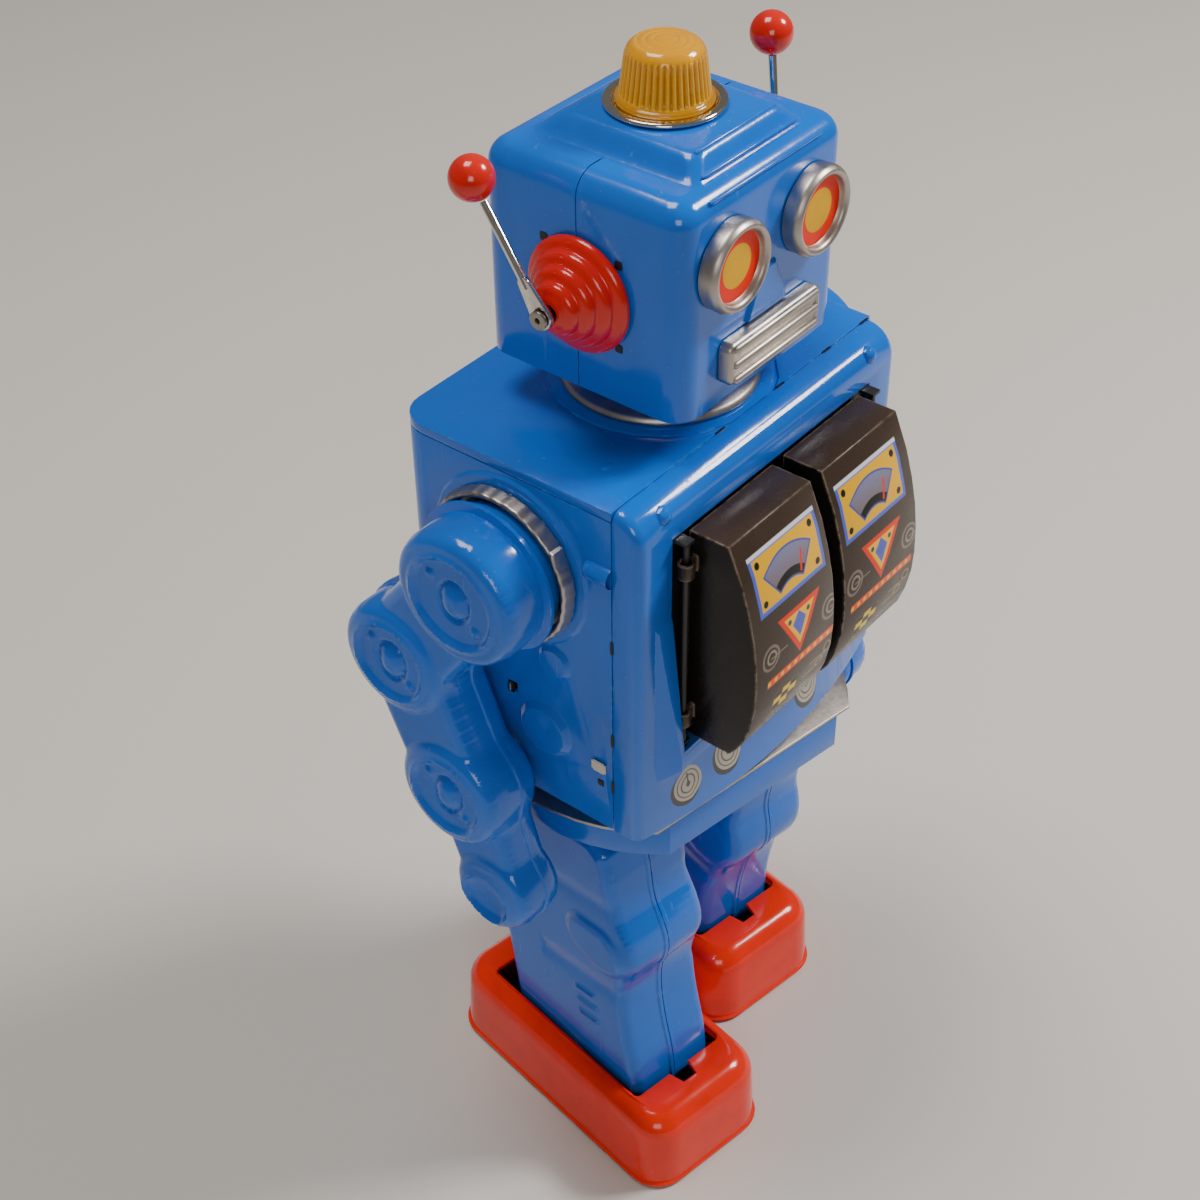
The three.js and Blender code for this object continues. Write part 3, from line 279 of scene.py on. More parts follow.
def litho_print(f, shift):
    """One door's printed instruments, drawn in (x, z) of the shut door."""
    u = f.x - shift
    z = f.z
    front = f.band(f.y, -43.0, -43.8)
    near = rectangle(u, z, -31.5, -1.0, 100, 260).cover()

    def lay(distance, colour, blur=0.12):
        f.lay(distance.cover(blur) * front * near, colour)

    # warm tint that grows towards the foot of the door
    f.lay(f.band(z, 166.0, 152.0) * front * near * 0.55, (0.16, 0.10, 0.07))
    # gauge plate
    plate = rectangle(u, z, -29.5, -4.2, 191.0, 205.5)
    lay(plate, (0.09, 0.14, 0.62))
    lay(rectangle(u, z, -29.5, -4.2, 204.7, 205.6), (0.75, 0.78, 0.9))
    lay(plate + 1.1, (0.90, 0.48, 0.0))
    for cu in (-26.9, -6.8):
        for cz in (193.6, 202.9):
            lay(circle(u, z, cu, cz, 0.85), (0.012, 0.012, 0.02))
    fan = circle(u, z, -16.85, 187.2, 15.4).bigger(circle(u, z, -16.85, 187.2, 7.4) * -1.0)
    spread = (abs(u + 16.85) * 0.80 - (z - 187.2) * 0.60)
    fan = fan.bigger(spread)
    lay(fan, (0.05, 0.08, 0.38))
    lay(fan + 0.45, (0.20, 0.15, 0.16))
    tint = (fan + 0.45).cover() * front * near * f.band(z, 196.0, 202.5) * 0.7
    f.lay(tint, (0.22, 0.26, 0.50))
    lay((fan + 0.45).bigger(circle(u, z, -16.85, 187.2, 9.9)), (0.004, 0.004, 0.004))
    needle = wedge(u, z, [(-13.3, 194.6), (-12.6, 194.4), (-11.4, 199.6), (-12.0, 199.7)])
    lay(needle, (0.75, 0.02, 0.01))
    # inverted triangle with a plain diamond and two dots
    tri = wedge(u, z, [(-16.0, 174.4), (-7.6, 187.4), (-24.0, 187.4)])
    lay(tri, (0.85, 0.03, 0.0))
    lay(tri + 1.3, (1.0, 0.55, 0.0))
    lay(wedge(u, z, [(-16.0, 179.0), (-13.4, 183.2), (-16.0, 186.0), (-18.6, 183.2)]), (0.08, 0.11, 0.55))
    for du in (-3.6, 3.6):
        lay(circle(u, z, -16.0 + du, 184.6, 0.7), (0.05, 0.05, 0.10))
    # printed knobs
    for cu in (-27.3, -3.9):
        knob = circle(u, z, cu, 179.6, 3.0)
        lay(abs(knob) - 0.35, (0.22, 0.17, 0.14))
        lay(abs(circle(u, z, cu + 0.3, 179.6, 1.6)) - 0.3, (0.30, 0.24, 0.20))
        lay(rectangle(u, z, cu, cu + 6.4, 179.2, 179.5), (0.30, 0.23, 0.16))
    # dashed bar
    bar = rectangle(u, z, -28.5, -2.5, 171.2, 173.4)
    lay(bar, (1.0, 0.07, 0.0))
    wave = (u * (2 * math.pi / 2.6)).calc("SINE")
    dots = (wave * -1.0 + 0.15).bigger(rectangle(u, z, -28.5, -2.5, 171.7, 172.9))
    lay(dots, (1.0, 0.62, 0.02), 0.1)
    # checks
    checks = (((u + 24.6) / 3.0).calc("FLOOR") + ((z - 161.0) / 2.0).calc("FLOOR")).calc("MODULO", 2.0)
    board = rectangle(u, z, -24.6, -15.6, 161.0, 167.0)
    lay(board, (0.01, 0.01, 0.01))
    f.lay(board.cover() * front * near * abs(checks), (1.0, 0.66, 0.0))
    for cu, cz, width in ((-7.5, 166.5, 7.0), (-9.5, 163.2, 6.0), (-26.0, 157.0, 5.0)):
        lay(rectangle(u, z, cu - width / 2, cu + width / 2, cz, cz + 0.35), (0.45, 0.28, 0.12))
        lay(abs(circle(u, z, cu + width / 2, cz + 1.4, 1.3)) - 0.2, (0.40, 0.26, 0.12))


def door_finish(name, shift):
    f = Finish(name, (0.052, 0.034, 0.024), 0.26, 0.0, 0.0)
    f.shader.inputs["Specular IOR Level"].default_value = 0.28
    f.lay(f.band(f.noise(7, 4), 0.4, 0.75) * 0.5, (0.045, 0.027, 0.020))
    litho_print(f, shift)
    sideways, facing_back, _ = f.normal()
    f.lay(f.band(abs(sideways), 0.75, 0.9), (0.010, 0.008, 0.007))
    f.lay(f.band(facing_back, 0.2, 0.5), (0.008, 0.007, 0.006))
    f.gloss(f.noise(5, 4, seed=4.0) * 0.2 - 0.08)
    f.raise_by(f.noise(1.5, 4, seed=2.0))
    f.edge_wear((0.34, 0.26, 0.19), 0.9, 0.75)
    return f.done(0.00005, 0.3)


def amber_lens():
    f = Finish("amber_lens", (0.95, 0.46, 0.0), 0.08, 0.0, 0.4)
    f.lay(f.band(f.noise(7, 3), 0.4, 0.8) * 0.5, (0.80, 0.36, 0.0))
    # Painted shade in the flute grooves and painted highlight on the flute ridges, so the ribs show under any
    # light
    ribs = ((f.y + 0.5).calc("ARCTAN2", f.x) * 40.0).calc("COSINE")
    wall = f.band(f.z, 290.3, 290.9) * f.band(f.z, 300.2, 299.4)
    f.lay(f.band(ribs, 0.0, 0.9) * wall * 0.75, (0.34, 0.11, 0.0))
    f.lay(f.band(ribs, -0.5, -1.0) * wall * 0.7, (1.0, 0.72, 0.10))
    f.lay(f.band(abs(f.z - 290.0), 0.5, 0.2) * 0.6, (0.40, 0.15, 0.0))
    f.gloss(f.noise(3, 3) * 0.08)
    f.raise_by(f.noise(1.4, 2))
    material = f.done(0.00008, 0.3)
    f.shader.inputs["Transmission Weight"].default_value = 0.35
    f.shader.inputs["IOR"].default_value = 1.45
    # Faint painted glow: the lens gives off light though the bulb inside is not lit
    f.shader.inputs["Emission Color"].default_value = (1.0, 0.5, 0.0, 1)
    f.shader.inputs["Emission Strength"].default_value = 0.06
    return material


def clear_glass():
    f = Finish("bulb_glass", (1.0, 0.93, 0.8), 0.03)
    f.gloss(f.noise(4, 2) * 0.05)
    f.raise_by(f.noise(6, 1))
    material = f.done(0.00003, 0.2)
    f.shader.inputs["Transmission Weight"].default_value = 0.95
    f.shader.inputs["IOR"].default_value = 1.45
    return material


LOOK = {
    "blue": enamel("blue_enamel", BLUE),
    "chest": enamel("blue_enamel_with_dials", BLUE, dials=True),
    "red": plastic("red_plastic", (0.72, 0.012, 0.006), 0.15, 0.3, (1, 0.35, 0.35)),
    "shoe": plastic("scarlet_shoe", (0.92, 0.020, 0.0), 0.15, 0.2, (1, 1, 1), 0.38),
    "silver": metal("silver_tin", (0.46, 0.42, 0.39), 0.38, (1, 1, 0.1)),
    "chrome": metal("bright_chrome", (0.68, 0.65, 0.60), 0.12, (1, 1, 1), 0.2),
    "steel": metal("plain_steel", (0.36, 0.33, 0.29), 0.34, (0.2, 1, 1)),
    "brass": metal("dull_brass", (0.42, 0.29, 0.13), 0.28),
    "black": plastic("black_plastic", (0.012, 0.010, 0.009), 0.42, 0.1),
    "rubber": plastic("black_rubber", (0.014, 0.013, 0.012), 0.62, 0.0),
    "nylon": plastic("pale_nylon", (0.58, 0.54, 0.44), 0.42, 0.1),
    "jacket": plastic("battery_jacket", (0.03, 0.035, 0.045), 0.3, 0.3),
    "eye_red": plastic("eye_red", (0.95, 0.02, 0.0), 0.35, 0.0, (1, 1, 1), 0.2),
    "eye_yellow": plastic("eye_yellow", (0.86, 0.44, 0.0), 0.35, 0.0, (1, 1, 1), 0.15),
    "amber": amber_lens(),
    "glass": clear_glass(),
    "door_right": door_finish("door_print_right", 0.0),
    "door_left": door_finish("door_print_left", 33.9),
}


# ------------------------------------------------------------------ mesh making
def piece(name, verts, faces, look, body, replaced=(), sharp=38.0, marks=None):
    """A shaded mesh object that rides on a body; points are in millimetres about the waist."""
    mesh = bpy.data.meshes.new(name)
    mesh.from_pydata([place(v) for v in verts], [], [tuple(f) for f in faces])
    for key in (look if isinstance(look, (list, tuple)) else [look]):
        mesh.materials.append(LOOK[key])
    if marks is not None:
        mesh.polygons.foreach_set("material_index", marks)
    mesh.validate()
    mesh.shade_smooth()
    mesh.set_sharp_from_angle(angle=math.radians(sharp))
    obj = bpy.data.objects.new(name, mesh)
    bpy.context.scene.collection.objects.link(obj)
    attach(obj, body)
    if replaced:
        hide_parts(*replaced)
    return obj


def rounded(points, radius, steps=4):
    """The same polyline with each inner corner turned into a small curve."""
    out = [points[0]]
    for a, b, c in zip(points, points[1:], points[2:]):
        a, b, c = (np.array(p, float) for p in (a, b, c))
        reach = min(radius, np.linalg.norm(b - a) * 0.45, np.linalg.norm(c - b) * 0.45)
        start = b + (a - b) / np.linalg.norm(a - b) * reach
        end = b + (c - b) / np.linalg.norm(c - b) * reach
        for i in range(steps + 1):
            t = i / steps
            out.append(tuple((1 - t) ** 2 * start + 2 * t * (1 - t) * b + t * t * end))
    out.append(points[-1])
    return out


TURN = {
    "+z": lambda r, h, c, s: (r * c, r * s, h),
    "-y": lambda r, h, c, s: (r * c, -h, r * s),
    "+x": lambda r, h, c, s: (h, r * c, r * s),
    "-x": lambda r, h, c, s: (-h, -r * c, r * s),
}


def turned(profile, centre, axis, segments=72, wobble=None, swing=0.0):
    """Surface of revolution; wobble(radius, height, angle) may change the radius."""
    verts, faces = [], []
    for r, h in profile:
        for k in range(segments):
            a = 2 * math.pi * k / segments
            radius = wobble(r, h, a) if wobble else r
            p = TURN[axis](radius, h, math.cos(a + swing), math.sin(a + swing))
            verts.append(tuple(centre[i] + p[i] for i in range(3)))
    for row in range(len(profile) - 1):
        for k in range(segments):
            k2 = (k + 1) % segments
            a, b = row * segments + k, row * segments + k2
            faces.append((a, b, b + segments, a + segments))
    return verts, faces


def joined(*parts):
    verts, faces = [], []
    for v, f in parts:
        base = len(verts)
        verts += list(v)
        faces += [tuple(i + base for i in face) for face in f]
    return verts, faces


def mirrored(part):
    verts, faces = part
    return [(-x, y, z) for x, y, z in verts], [tuple(reversed(f)) for f in faces]


def moved(part, *matrices):
    whole = Matrix.Identity(4)
    for m in matrices:
        whole = m @ whole
    verts, faces = part
    return [tuple(whole @ Vector(v)) for v in verts], faces


def strip(loops, closed=True):
    """Faces between loops that hold the same number of points."""
    count = len(loops[0])
    verts = [p for loop in loops for p in loop]
    faces = []
    for row in range(len(loops) - 1):
        for k in range(count if closed else count - 1):
            k2 = (k + 1) % count
            a, b = row * count + k, row * count + k2
            faces.append((a, b, b + count, a + count))
    return verts, faces


def arc(cu, cv, radius, start, end, steps):
    return [(cu + radius * math.cos(math.radians(start + (end - start) * i / steps)),
             cv + radius * math.sin(math.radians(start + (end - start) * i / steps)))
            for i in range(steps + 1)]


# ------------------------------------------------------------------ pressed shells
def sd_disc(y, z, centre, radius):
    return np.hypot(y - centre[0], z - centre[1]) - radius


def sd_strap(y, z, a, ra, b, rb):
    ay, az = a
    by, bz = b[0] - ay, b[1] - az
    t = np.clip(((y - ay) * by + (z - az) * bz) / (by * by + bz * bz), 0, 1)
    return np.hypot(y - ay - t * by, z - az - t * bz) - (ra + (rb - ra) * t)


def sd_outline(y, z, corners):
    inside = np.zeros(y.shape, bool)
    best = np.full(y.shape, 1e9)
    for (ay, az), (by, bz) in zip(corners, corners[1:] + corners[:1]):
        ey, ez = by - ay, bz - az
        t = np.clip(((y - ay) * ey + (z - az) * ez) / (ey * ey + ez * ez), 0, 1)
        best = np.minimum(best, np.hypot(y - ay - t * ey, z - az - t * ez))
        crosses = (az > z) != (bz > z)
        with np.errstate(divide="ignore", invalid="ignore"):
            left = y < (by - ay) * (z - az) / (bz - az) + ay
        inside ^= crosses & left
    return np.where(inside, -best, best)


def soft_least(a, b, k):
    h = np.clip(0.5 + 0.5 * (b - a) / k, 0, 1)
    return b + (a - b) * h - k * h * (1 - h)


def soft_most(a, b, k):
    return -soft_least(-a, -b, k)


def crown_of(distance, top, edge):
    """Height of a pressed form whose rim is rounded by `edge`."""
    t = np.clip(-distance, 0, edge)
    curve = top - edge + np.sqrt(np.maximum(edge * edge - (edge - t) ** 2, 0))
    return np.where(distance > 0, top - edge - 5 * distance, curve)


def pressed_half(forms, relief, seam, sign, cell=0.6, blend=2.4, lip=0.5, flare=None):
    """Stamped half shell over the (y, z) plane, open towards the seam plane x = seam.

    forms: (distance function, top height above the seam, edge radius).
    """
    def outline(y, z):
        whole = None
        for distance, _, _ in forms:
            d = distance(y, z)
            whole = d if whole is None else soft_least(whole, d, blend)
        return whole

    def surface(y, z):
        lowest = min(top for _, top, _ in forms)
        edge = min(e for _, _, e in forms)
        height = crown_of(outline(y, z), lowest, edge)
        for distance, top, edge in forms:
            height = soft_most(height, crown_of(distance(y, z), top, edge), 1.3)
        return height + relief(y, z)

    span = np.arange(-40, 75, cell)
    rise = np.arange(-105, 225, cell)
    yy, zz = np.meshgrid(span, rise, indexing="ij")
    d = outline(yy, zz)
    keep = d < 0.5 * cell
    cells = keep[:-1, :-1] & keep[1:, :-1] & keep[1:, 1:] & keep[:-1, 1:]
    number = np.full(yy.shape, -1)
    used = np.zeros(yy.shape, bool)
    for di, dj in ((0, 0), (1, 0), (1, 1), (0, 1)):
        used[di:di + cells.shape[0], dj:dj + cells.shape[1]] |= cells
    number[used] = np.arange(used.sum())
    ii, jj = np.nonzero(cells)
    faces = np.stack([number[ii, jj], number[ii + 1, jj], number[ii + 1, jj + 1], number[ii, jj + 1]], 1)
    y, z = yy[used], zz[used]
    # outermost edges, walked once each in face order
    pairs = np.concatenate([faces[:, [0, 1]], faces[:, [1, 2]], faces[:, [2, 3]], faces[:, [3, 0]]])
    seen = {(a, b) for a, b in pairs.tolist()}
    border = [(a, b) for a, b in pairs.tolist() if (b, a) not in seen]
    rim = np.array(sorted({a for a, _ in border} | {b for _, b in border}))
    step = 0.05
    for _ in range(3):
        dist = outline(y[rim], z[rim])
        gy = (outline(y[rim] + step, z[rim]) - dist) / step
        gz = (outline(y[rim], z[rim] + step) - dist) / step
        size = np.maximum(np.hypot(gy, gz), 0.3)
        y[rim] -= dist * gy / size ** 2
        z[rim] -= dist * gz / size ** 2
    height = surface(y, z)
    gy, gz = gy / size, gz / size
    verts = [(seam + sign * h, a, b) for h, a, b in zip(height, y, z)]
    quads = [tuple(f) for f in faces.tolist()]
    index = {int(v): k for k, v in enumerate(rim)}
    wide = lip + (flare(y[rim], z[rim]) if flare else 0.0)
    wide = np.broadcast_to(wide, rim.shape)
    levels = [(0.0, 1.5), (1.0, 1.1), (1.0, 0.15), (-1.2, 0.15)] if lip else [(0.0, 0.15), (-1.2, 0.15)]
    last = [int(v) for v in rim]
    for spread, level in levels:
        base = len(verts)
        out = wide * spread if spread >= 0 else np.full(rim.shape, spread)
        drop = np.minimum(height[rim], level)
        verts += [(seam + sign * h, a + o * p, b + o * q)
                  for h, a, b, o, p, q in zip(drop, y[rim], z[rim], out, gy, gz)]
        quads += [(last[index[a]], base + index[a], base + index[b], last[index[b]]) for a, b in border]
        last = list(range(base, base + len(rim)))
    if sign < 0:
        quads = [tuple(reversed(f)) for f in quads]
    return verts, quads


def dome(y, z, centre, ry, rz, high):
    return high * np.sqrt(np.clip(1 - ((y - centre[0]) / ry) ** 2 - ((z - centre[1]) / rz) ** 2, 0, 1))


def ridge(value, width, high):
    return high * np.exp(-(value / width) ** 2)


SHOULDER, ELBOW, WRIST, HAND = (3.7, 194.8), (25.7, 165.7), (10.8, 130.9), (0.8, 101.1)
ARM_SEAM = 57.8


def arm_half(outer):
    tops = (12.8, 12.2, 12.0, 9.4) if outer else (5.7, 5.3, 5.3, 4.8)
    edge = 3.4 if outer else 2.4
    joints = ((SHOULDER, 17.2), (ELBOW, 15.1), (WRIST, 15.1), (HAND, 11.7))
    forms = [(lambda y, z, c=c, r=r: sd_disc(y, z, c, r), top, edge) for (c, r), top in zip(joints, tops)]
    for i, (ra, rb) in enumerate(((12.0, 13.0), (13.0, 12.4), (11.0, 10.0))):
        a, b = joints[i][0], joints[i + 1][0]
        top = min(tops[i], tops[i + 1]) - (1.5 if outer else 0.6)
        forms.append((lambda y, z, a=a, ra=ra, b=b, rb=rb: sd_strap(y, z, a, ra, b, rb), top, edge + 0.6))

    def relief(y, z):
        extra = np.zeros(y.shape)
        if outer:
            for centre, ring in ((SHOULDER, 11.6), (ELBOW, 10.3), (WRIST, 10.3)):
                rho = np.hypot(y - centre[0], z - centre[1])
                extra -= 0.85 / (1 + np.exp((rho - ring) / 0.3))
                extra += ridge(rho - ring - 0.3, 0.8, 0.75)
                oval = np.hypot((y - centre[0]) / 0.8, (z - centre[1]))
                extra -= ridge(oval - 5.3, 0.5, 0.8)
                extra += ridge(oval - 4.1, 0.5, 0.35)
                extra += dome(y, z, centre, 2.9, 3.8, 1.5)
                for way in (-1, 1):
                    spot = (centre[0] + way * 0.75 * ring * 0.72, centre[1] + way * 0.65 * ring * 0.72)
                    extra += dome(y, z, spot, 1.35, 1.35, 0.9)
        palm = (HAND[0] + 1.4, HAND[1] - 2.6)
        depth = 2.6 if outer else 1.4
        rho = np.hypot(y - palm[0], z - palm[1])
        extra += ridge(rho - 7.5, 0.9, 0.5)
        return extra - dome(y, z, palm, 7.2, 7.2, depth)

    def flare(_, z):
        return 1.4 * np.clip((z - 176) / 8, 0, 1)

    return pressed_half(forms, relief, ARM_SEAM, 1 if outer else -1, flare=flare if outer else None,
                        lip=0.5 if outer else 0.0)


def build_arms():
    outer, inner = arm_half(True), arm_half(False)
    for side, sign in SIDES:
        angle = math.radians(-8) if sign > 0 else 0.0
        pivot = Vector((0, *SHOULDER))
        swing = [Matrix.Translation(-pivot), Matrix.Rotation(angle, 4, "X"), Matrix.Translation(pivot)]
        for name, half in (("arm_outer_half", outer), ("arm_inner_half", inner)):
            part = half if sign > 0 else mirrored(half)
            node = f"{name}_{side}"
            obj = piece("pressed_" + node, *moved(part, *swing), "blue", "arm_" + side, [node])
        lip = [(3.4, 0.7), (17.8, 0.7), (18.2, 4.0), (18.9, 4.6), (19.6, 4.2), (19.95, 0.9), (19.4, 0.3),
               (3.4, 0.3)]

        def crimp(r, h, a):
            notch = math.exp(-((a - 0.62) / 0.03) ** 2) + math.exp(-((a - 3.9) / 0.03) ** 2)
            on_the_rim = r > 19 and h > 0.5
            return r + (0.9 * notch + 0.12 * math.sin(a * 37) + 0.1 * math.sin(a * 11)) * on_the_rim

        ring = turned(rounded(lip, 0.5), (sign * 50.7, *SHOULDER), "+x" if sign > 0 else "-x", 180, crimp)
        obj = piece("crimped_ring_" + side, *ring, "silver", "torso", ["shoulder_ring_" + side])


# ------------------------------------------------------------------ legs and shoes
HIP = (4.0, 113.0)
LEG_X, LEG_LENGTH, LEG_SWING = 26.2, 93.2, 9.3
LEG_TURN = Matrix.Rotation(math.radians(-9.7), 4, "Z")
LEG_FRONT = [(-26.6, -21), (-26.4, -33), (-28.8, -38.5), (-29.8, -43), (-29, -49.5), (-25.4, -57),
             (-24.1, -66), (-24.2, -76), (-25.6, -88), (-25, -98)]


def softened(points, rounds=2):
    for _ in range(rounds):
        finer = [points[0]]
        for (a, b), (c, d) in zip(points, points[1:]):
            finer += [(a * 0.75 + c * 0.25, b * 0.75 + d * 0.25), (a * 0.25 + c * 0.75, b * 0.25 + d * 0.75)]
        points = finer + [points[-1]]
    return points


def leg_half(outer):
    shape = [(25.2, -98), (25.2, -13), (21.2, -9), (-21, -9), (-25.4, -13)] + softened(LEG_FRONT)
    forms = [
        (lambda y, z: sd_outline(y, z, shape), 13.6, 3.4),
        (lambda y, z: sd_strap(y, z, (-18, -46), 9.6, (-20, -46), 9.6), 14.0, 3.4),
    ]
    if outer:
        forms.append((lambda y, z: sd_strap(y, z, (-19.6, -46), 8.8, (-13, -44.5), 7.6), 15.4, 3.6))

    def relief(y, z):
        extra = np.zeros(y.shape)
        # shallow valley above and below the knee roll, and a flat panel down the side
        extra -= ridge(z + 30.5, 3.0, 0.5) * (y < 8) + ridge(z + 60.5, 3.0, 0.6) * (y < 8)
        if outer:
            for low in (-67.6, -72.2, -76.8):
                across = np.clip(1 - np.abs(z - low - 1) / 1.1, 0, 1)
                along = np.clip((4.2 - np.abs(y + 9.3)) / 0.6, 0, 1)
                extra += 0.75 * (across * along)
        return extra

    return pressed_half(forms, relief, 0.0, 1, lip=0.35, blend=2.0)


def build_legs():
    outer, inner = leg_half(True), leg_half(False)
    for side, sign in SIDES:
        swing = [Matrix.Rotation(math.radians(sign * LEG_SWING), 4, "X"),
                 Matrix.Translation((sign * LEG_X, *HIP)), LEG_TURN]
        for name, half, way in (("leg_outer_half", outer, sign), ("leg_inner_half", inner, -sign)):
            part = half if way > 0 else mirrored(half)
            node = f"{name}_{side}"
            obj = piece("pressed_" + node, *moved(part, *swing), "blue", "leg_" + side, [node])


def box_loop(half_x, y0, y1, radius, z, short=24, long=24, corner=8):
    """Rounded rectangle as a loop whose point count doesn't depend on its size."""
    radius = max(radius, 0.2)
    x0, x1 = -half_x + radius, half_x - radius
    ya, yb = y0 + radius, y1 - radius
    loop = [(x0 + (x1 - x0) * i / short, y0) for i in range(short)]
    loop += arc(x1, ya, radius, -90, 0, corner)[:-1]
    loop += [(half_x, ya + (yb - ya) * i / long) for i in range(long)]
    loop += arc(x1, yb, radius, 0, 90, corner)[:-1]
    loop += [(x1 + (x0 - x1) * i / short, y1) for i in range(short)]
    loop += arc(x0, yb, radius, 90, 180, corner)[:-1]
    loop += [(-half_x, yb + (ya - yb) * i / long) for i in range(long)]
    loop += arc(x0, ya, radius, 180, 270, corner)[:-1]
    return [(x, y, z) for x, y in loop]


def shoe():
    def lean(loop):
        out = []
        for x, y, z in loop:
            rise = max(0.0, (z - 0.8) / 25.4)
            out.append((x * (1 - 0.04 * rise), y * (1 - 0.025 * rise), z))
        return out

    def side(inset, z, extra=0.0):
        corner = 9.5 - inset * 0.8
        return lean(box_loop(21.3 - inset + extra, -43 + inset - extra, 43 - inset + extra, corner, z))

    loops = [side(0.8, 0.8), side(0, 0.85, 0.4), side(0, 1.0, 0.5), side(0, 1.5, 0.5), side(0, 1.75, 0.3),
             side(0, 1.95), side(0, 10), side(0, 18.9)]
    for i in range(1, 10):
        angle = math.radians(i * 8.6)
        loops.append(side(6.5 * (1 - math.cos(angle)), 18.9 + 6.5 * math.sin(angle)))

    def mouth(z, grow):
        loop = box_loop(15.6 + grow, -28.9 - grow, 31 + grow, 2 + grow, z)
        out = []
        for x, y, level in loop:
            if y < -28 and abs(x) < 2.9:
                y -= 4.5 * min(1.0, (2.9 - abs(x)) / 0.5)
            out.append((x, y, level))
        return out

    loops += [mouth(25.42, 0.5), mouth(25.2, 0.1), mouth(24.6, 0.0), mouth(24.2, 0.0)]
    for inset, z in ((6.0, 24.1), (3.4, 22.8), (1.6, 19.0), (1.2, 10.0), (1.2, 1.2)):
        loops.append(side(inset, z))
    return strip(loops)


def build_shoes():
    form = shoe()
    for side, sign in SIDES:
        ahead = HIP[0] + math.sin(math.radians(sign * LEG_SWING)) * LEG_LENGTH + 2.0
        part = moved(form, Matrix.Translation((sign * LEG_X, ahead, 0)), LEG_TURN)
        obj = piece("moulded_shoe_" + side, *part, "shoe", "foot_" + side, ["shoe_" + side])


# ------------------------------------------------------------------ head
def head_half(rear):
    x1, reach, low, top, corner, edge = 29.5, (27.0 if rear else 28.0), 231.8, 283.2, 6.0, 5.6

    def loop(inset, z, seam=0.15):
        r = corner - inset * 0.85
        back = reach - inset
        side = x1 - inset
        points = [(-side, -seam)]
        points += arc(-side + r, -back + r, r, 180, 270, 10)
        points += arc(side - r, -back + r, r, 270, 360, 10)
        points += [(side, -seam)]
        return [(x, y, z) for x, y in points]

    loops = [loop(2.5, low + 0.05), loop(0.5, low), loop(0.1, low + 0.2), loop(0, low + 0.6)]
    loops += [loop(0, z) for z in (245, 262, top - edge)]
    for i in range(1, 10):
        angle = math.radians(i * 10)
        loops.append(loop(edge * (1 - math.cos(angle)), top - edge + edge * math.sin(angle)))
    count = len(loops[0])
    verts, faces = strip(loops, closed=False)
    rows = len(loops)
    faces.append(tuple(range((rows - 1) * count, rows * count)))
    faces.append(tuple(reversed(range(count))))
    base = len(verts)
    inner = [[(x * 0.972, y, z) for x, y, z in (row[0], row[-1])] for row in loops]
    verts += [p for pair in inner for p in pair]
    for row in range(rows - 1):
        a, b = row * count, (row + 1) * count
        faces.append((a, b, base + 2 * row + 2, base + 2 * row))
        faces.append((b + count - 1, a + count - 1, base + 2 * row + 1, base + 2 * row + 3))
    part = (verts, faces)
    if rear:
        part = ([(x, -y, z) for x, y, z in verts], [tuple(reversed(f)) for f in faces])
    return part


def rod_profile(half, radius, neck, shoulder, nip):
    """Outline of a bar 2 * half long with softened ends."""
    length = 2 * half
    return [(0, 0), (neck, nip), (radius, shoulder), (radius, length - shoulder), (neck, length - nip),
            (0, length)]


def lofted_block(levels):
    """Closed rounded block from (half width, front, rear, corner radius, height) levels."""
    loops = [box_loop(hx, y0, y1, r, z) for hx, y0, y1, r, z in levels]
    verts, faces = strip(loops)
    count = len(loops[0])
    faces.append(tuple(range((len(loops) - 1) * count, len(loops) * count)))
    return verts, faces


def build_head():
    crest = lofted_block([
        (20.8, -23.6, 21.4, 3, 282.95), (20.0, -23.2, 20.9, 3, 283.15), (19.0, -22.7, 20.0, 3, 283.7),
        (18.0, -22.0, 18.9, 3, 284.6), (17.0, -21.2, 17.6, 3, 285.7), (16.1, -20.5, 16.4, 3, 286.7),
        (15.2, -19.9, 15.3, 3, 287.4), (14.2, -19.2, 14.3, 3, 287.8), (13.2, -18.4, 13.4, 2.4, 287.9),
    ])
    bars = []
    for half, y, z in ((14.2, -19.0, 287.6), (16.6, -22.6, 284.2), (20.0, -27.2, 281.4)):
        bars.append(turned(rod_profile(half, 0.5, 0.35, 0.7, 0.25), (-half, y, z), "+x", 16))
    nose = []
    for depth, grow in ((0.4, 0.9), (-0.5, 0.5), (-0.9, 0.0)):
        foot, brow = 6.9 + grow, 2.3 + grow
        outline = [(-foot, 248.2), (foot, 248.2), (brow, 258.5 + grow), (-brow, 258.5 + grow)]
        nose.append([(x, -28 + depth, z) for x, z in outline])
    verts, faces = strip(nose)
    faces.append((8, 9, 10, 11))
    front = joined(head_half(False), crest, (verts, faces))
    obj = piece("pressed_head_front", *front, "blue", "torso", ["head_front_shell"], 30)
    obj = piece("pressed_head_rear", *head_half(True), "blue", "torso", ["head_rear_shell"], 30)
    ridges = piece("head_ridges", *joined(*bars), "blue", "torso")


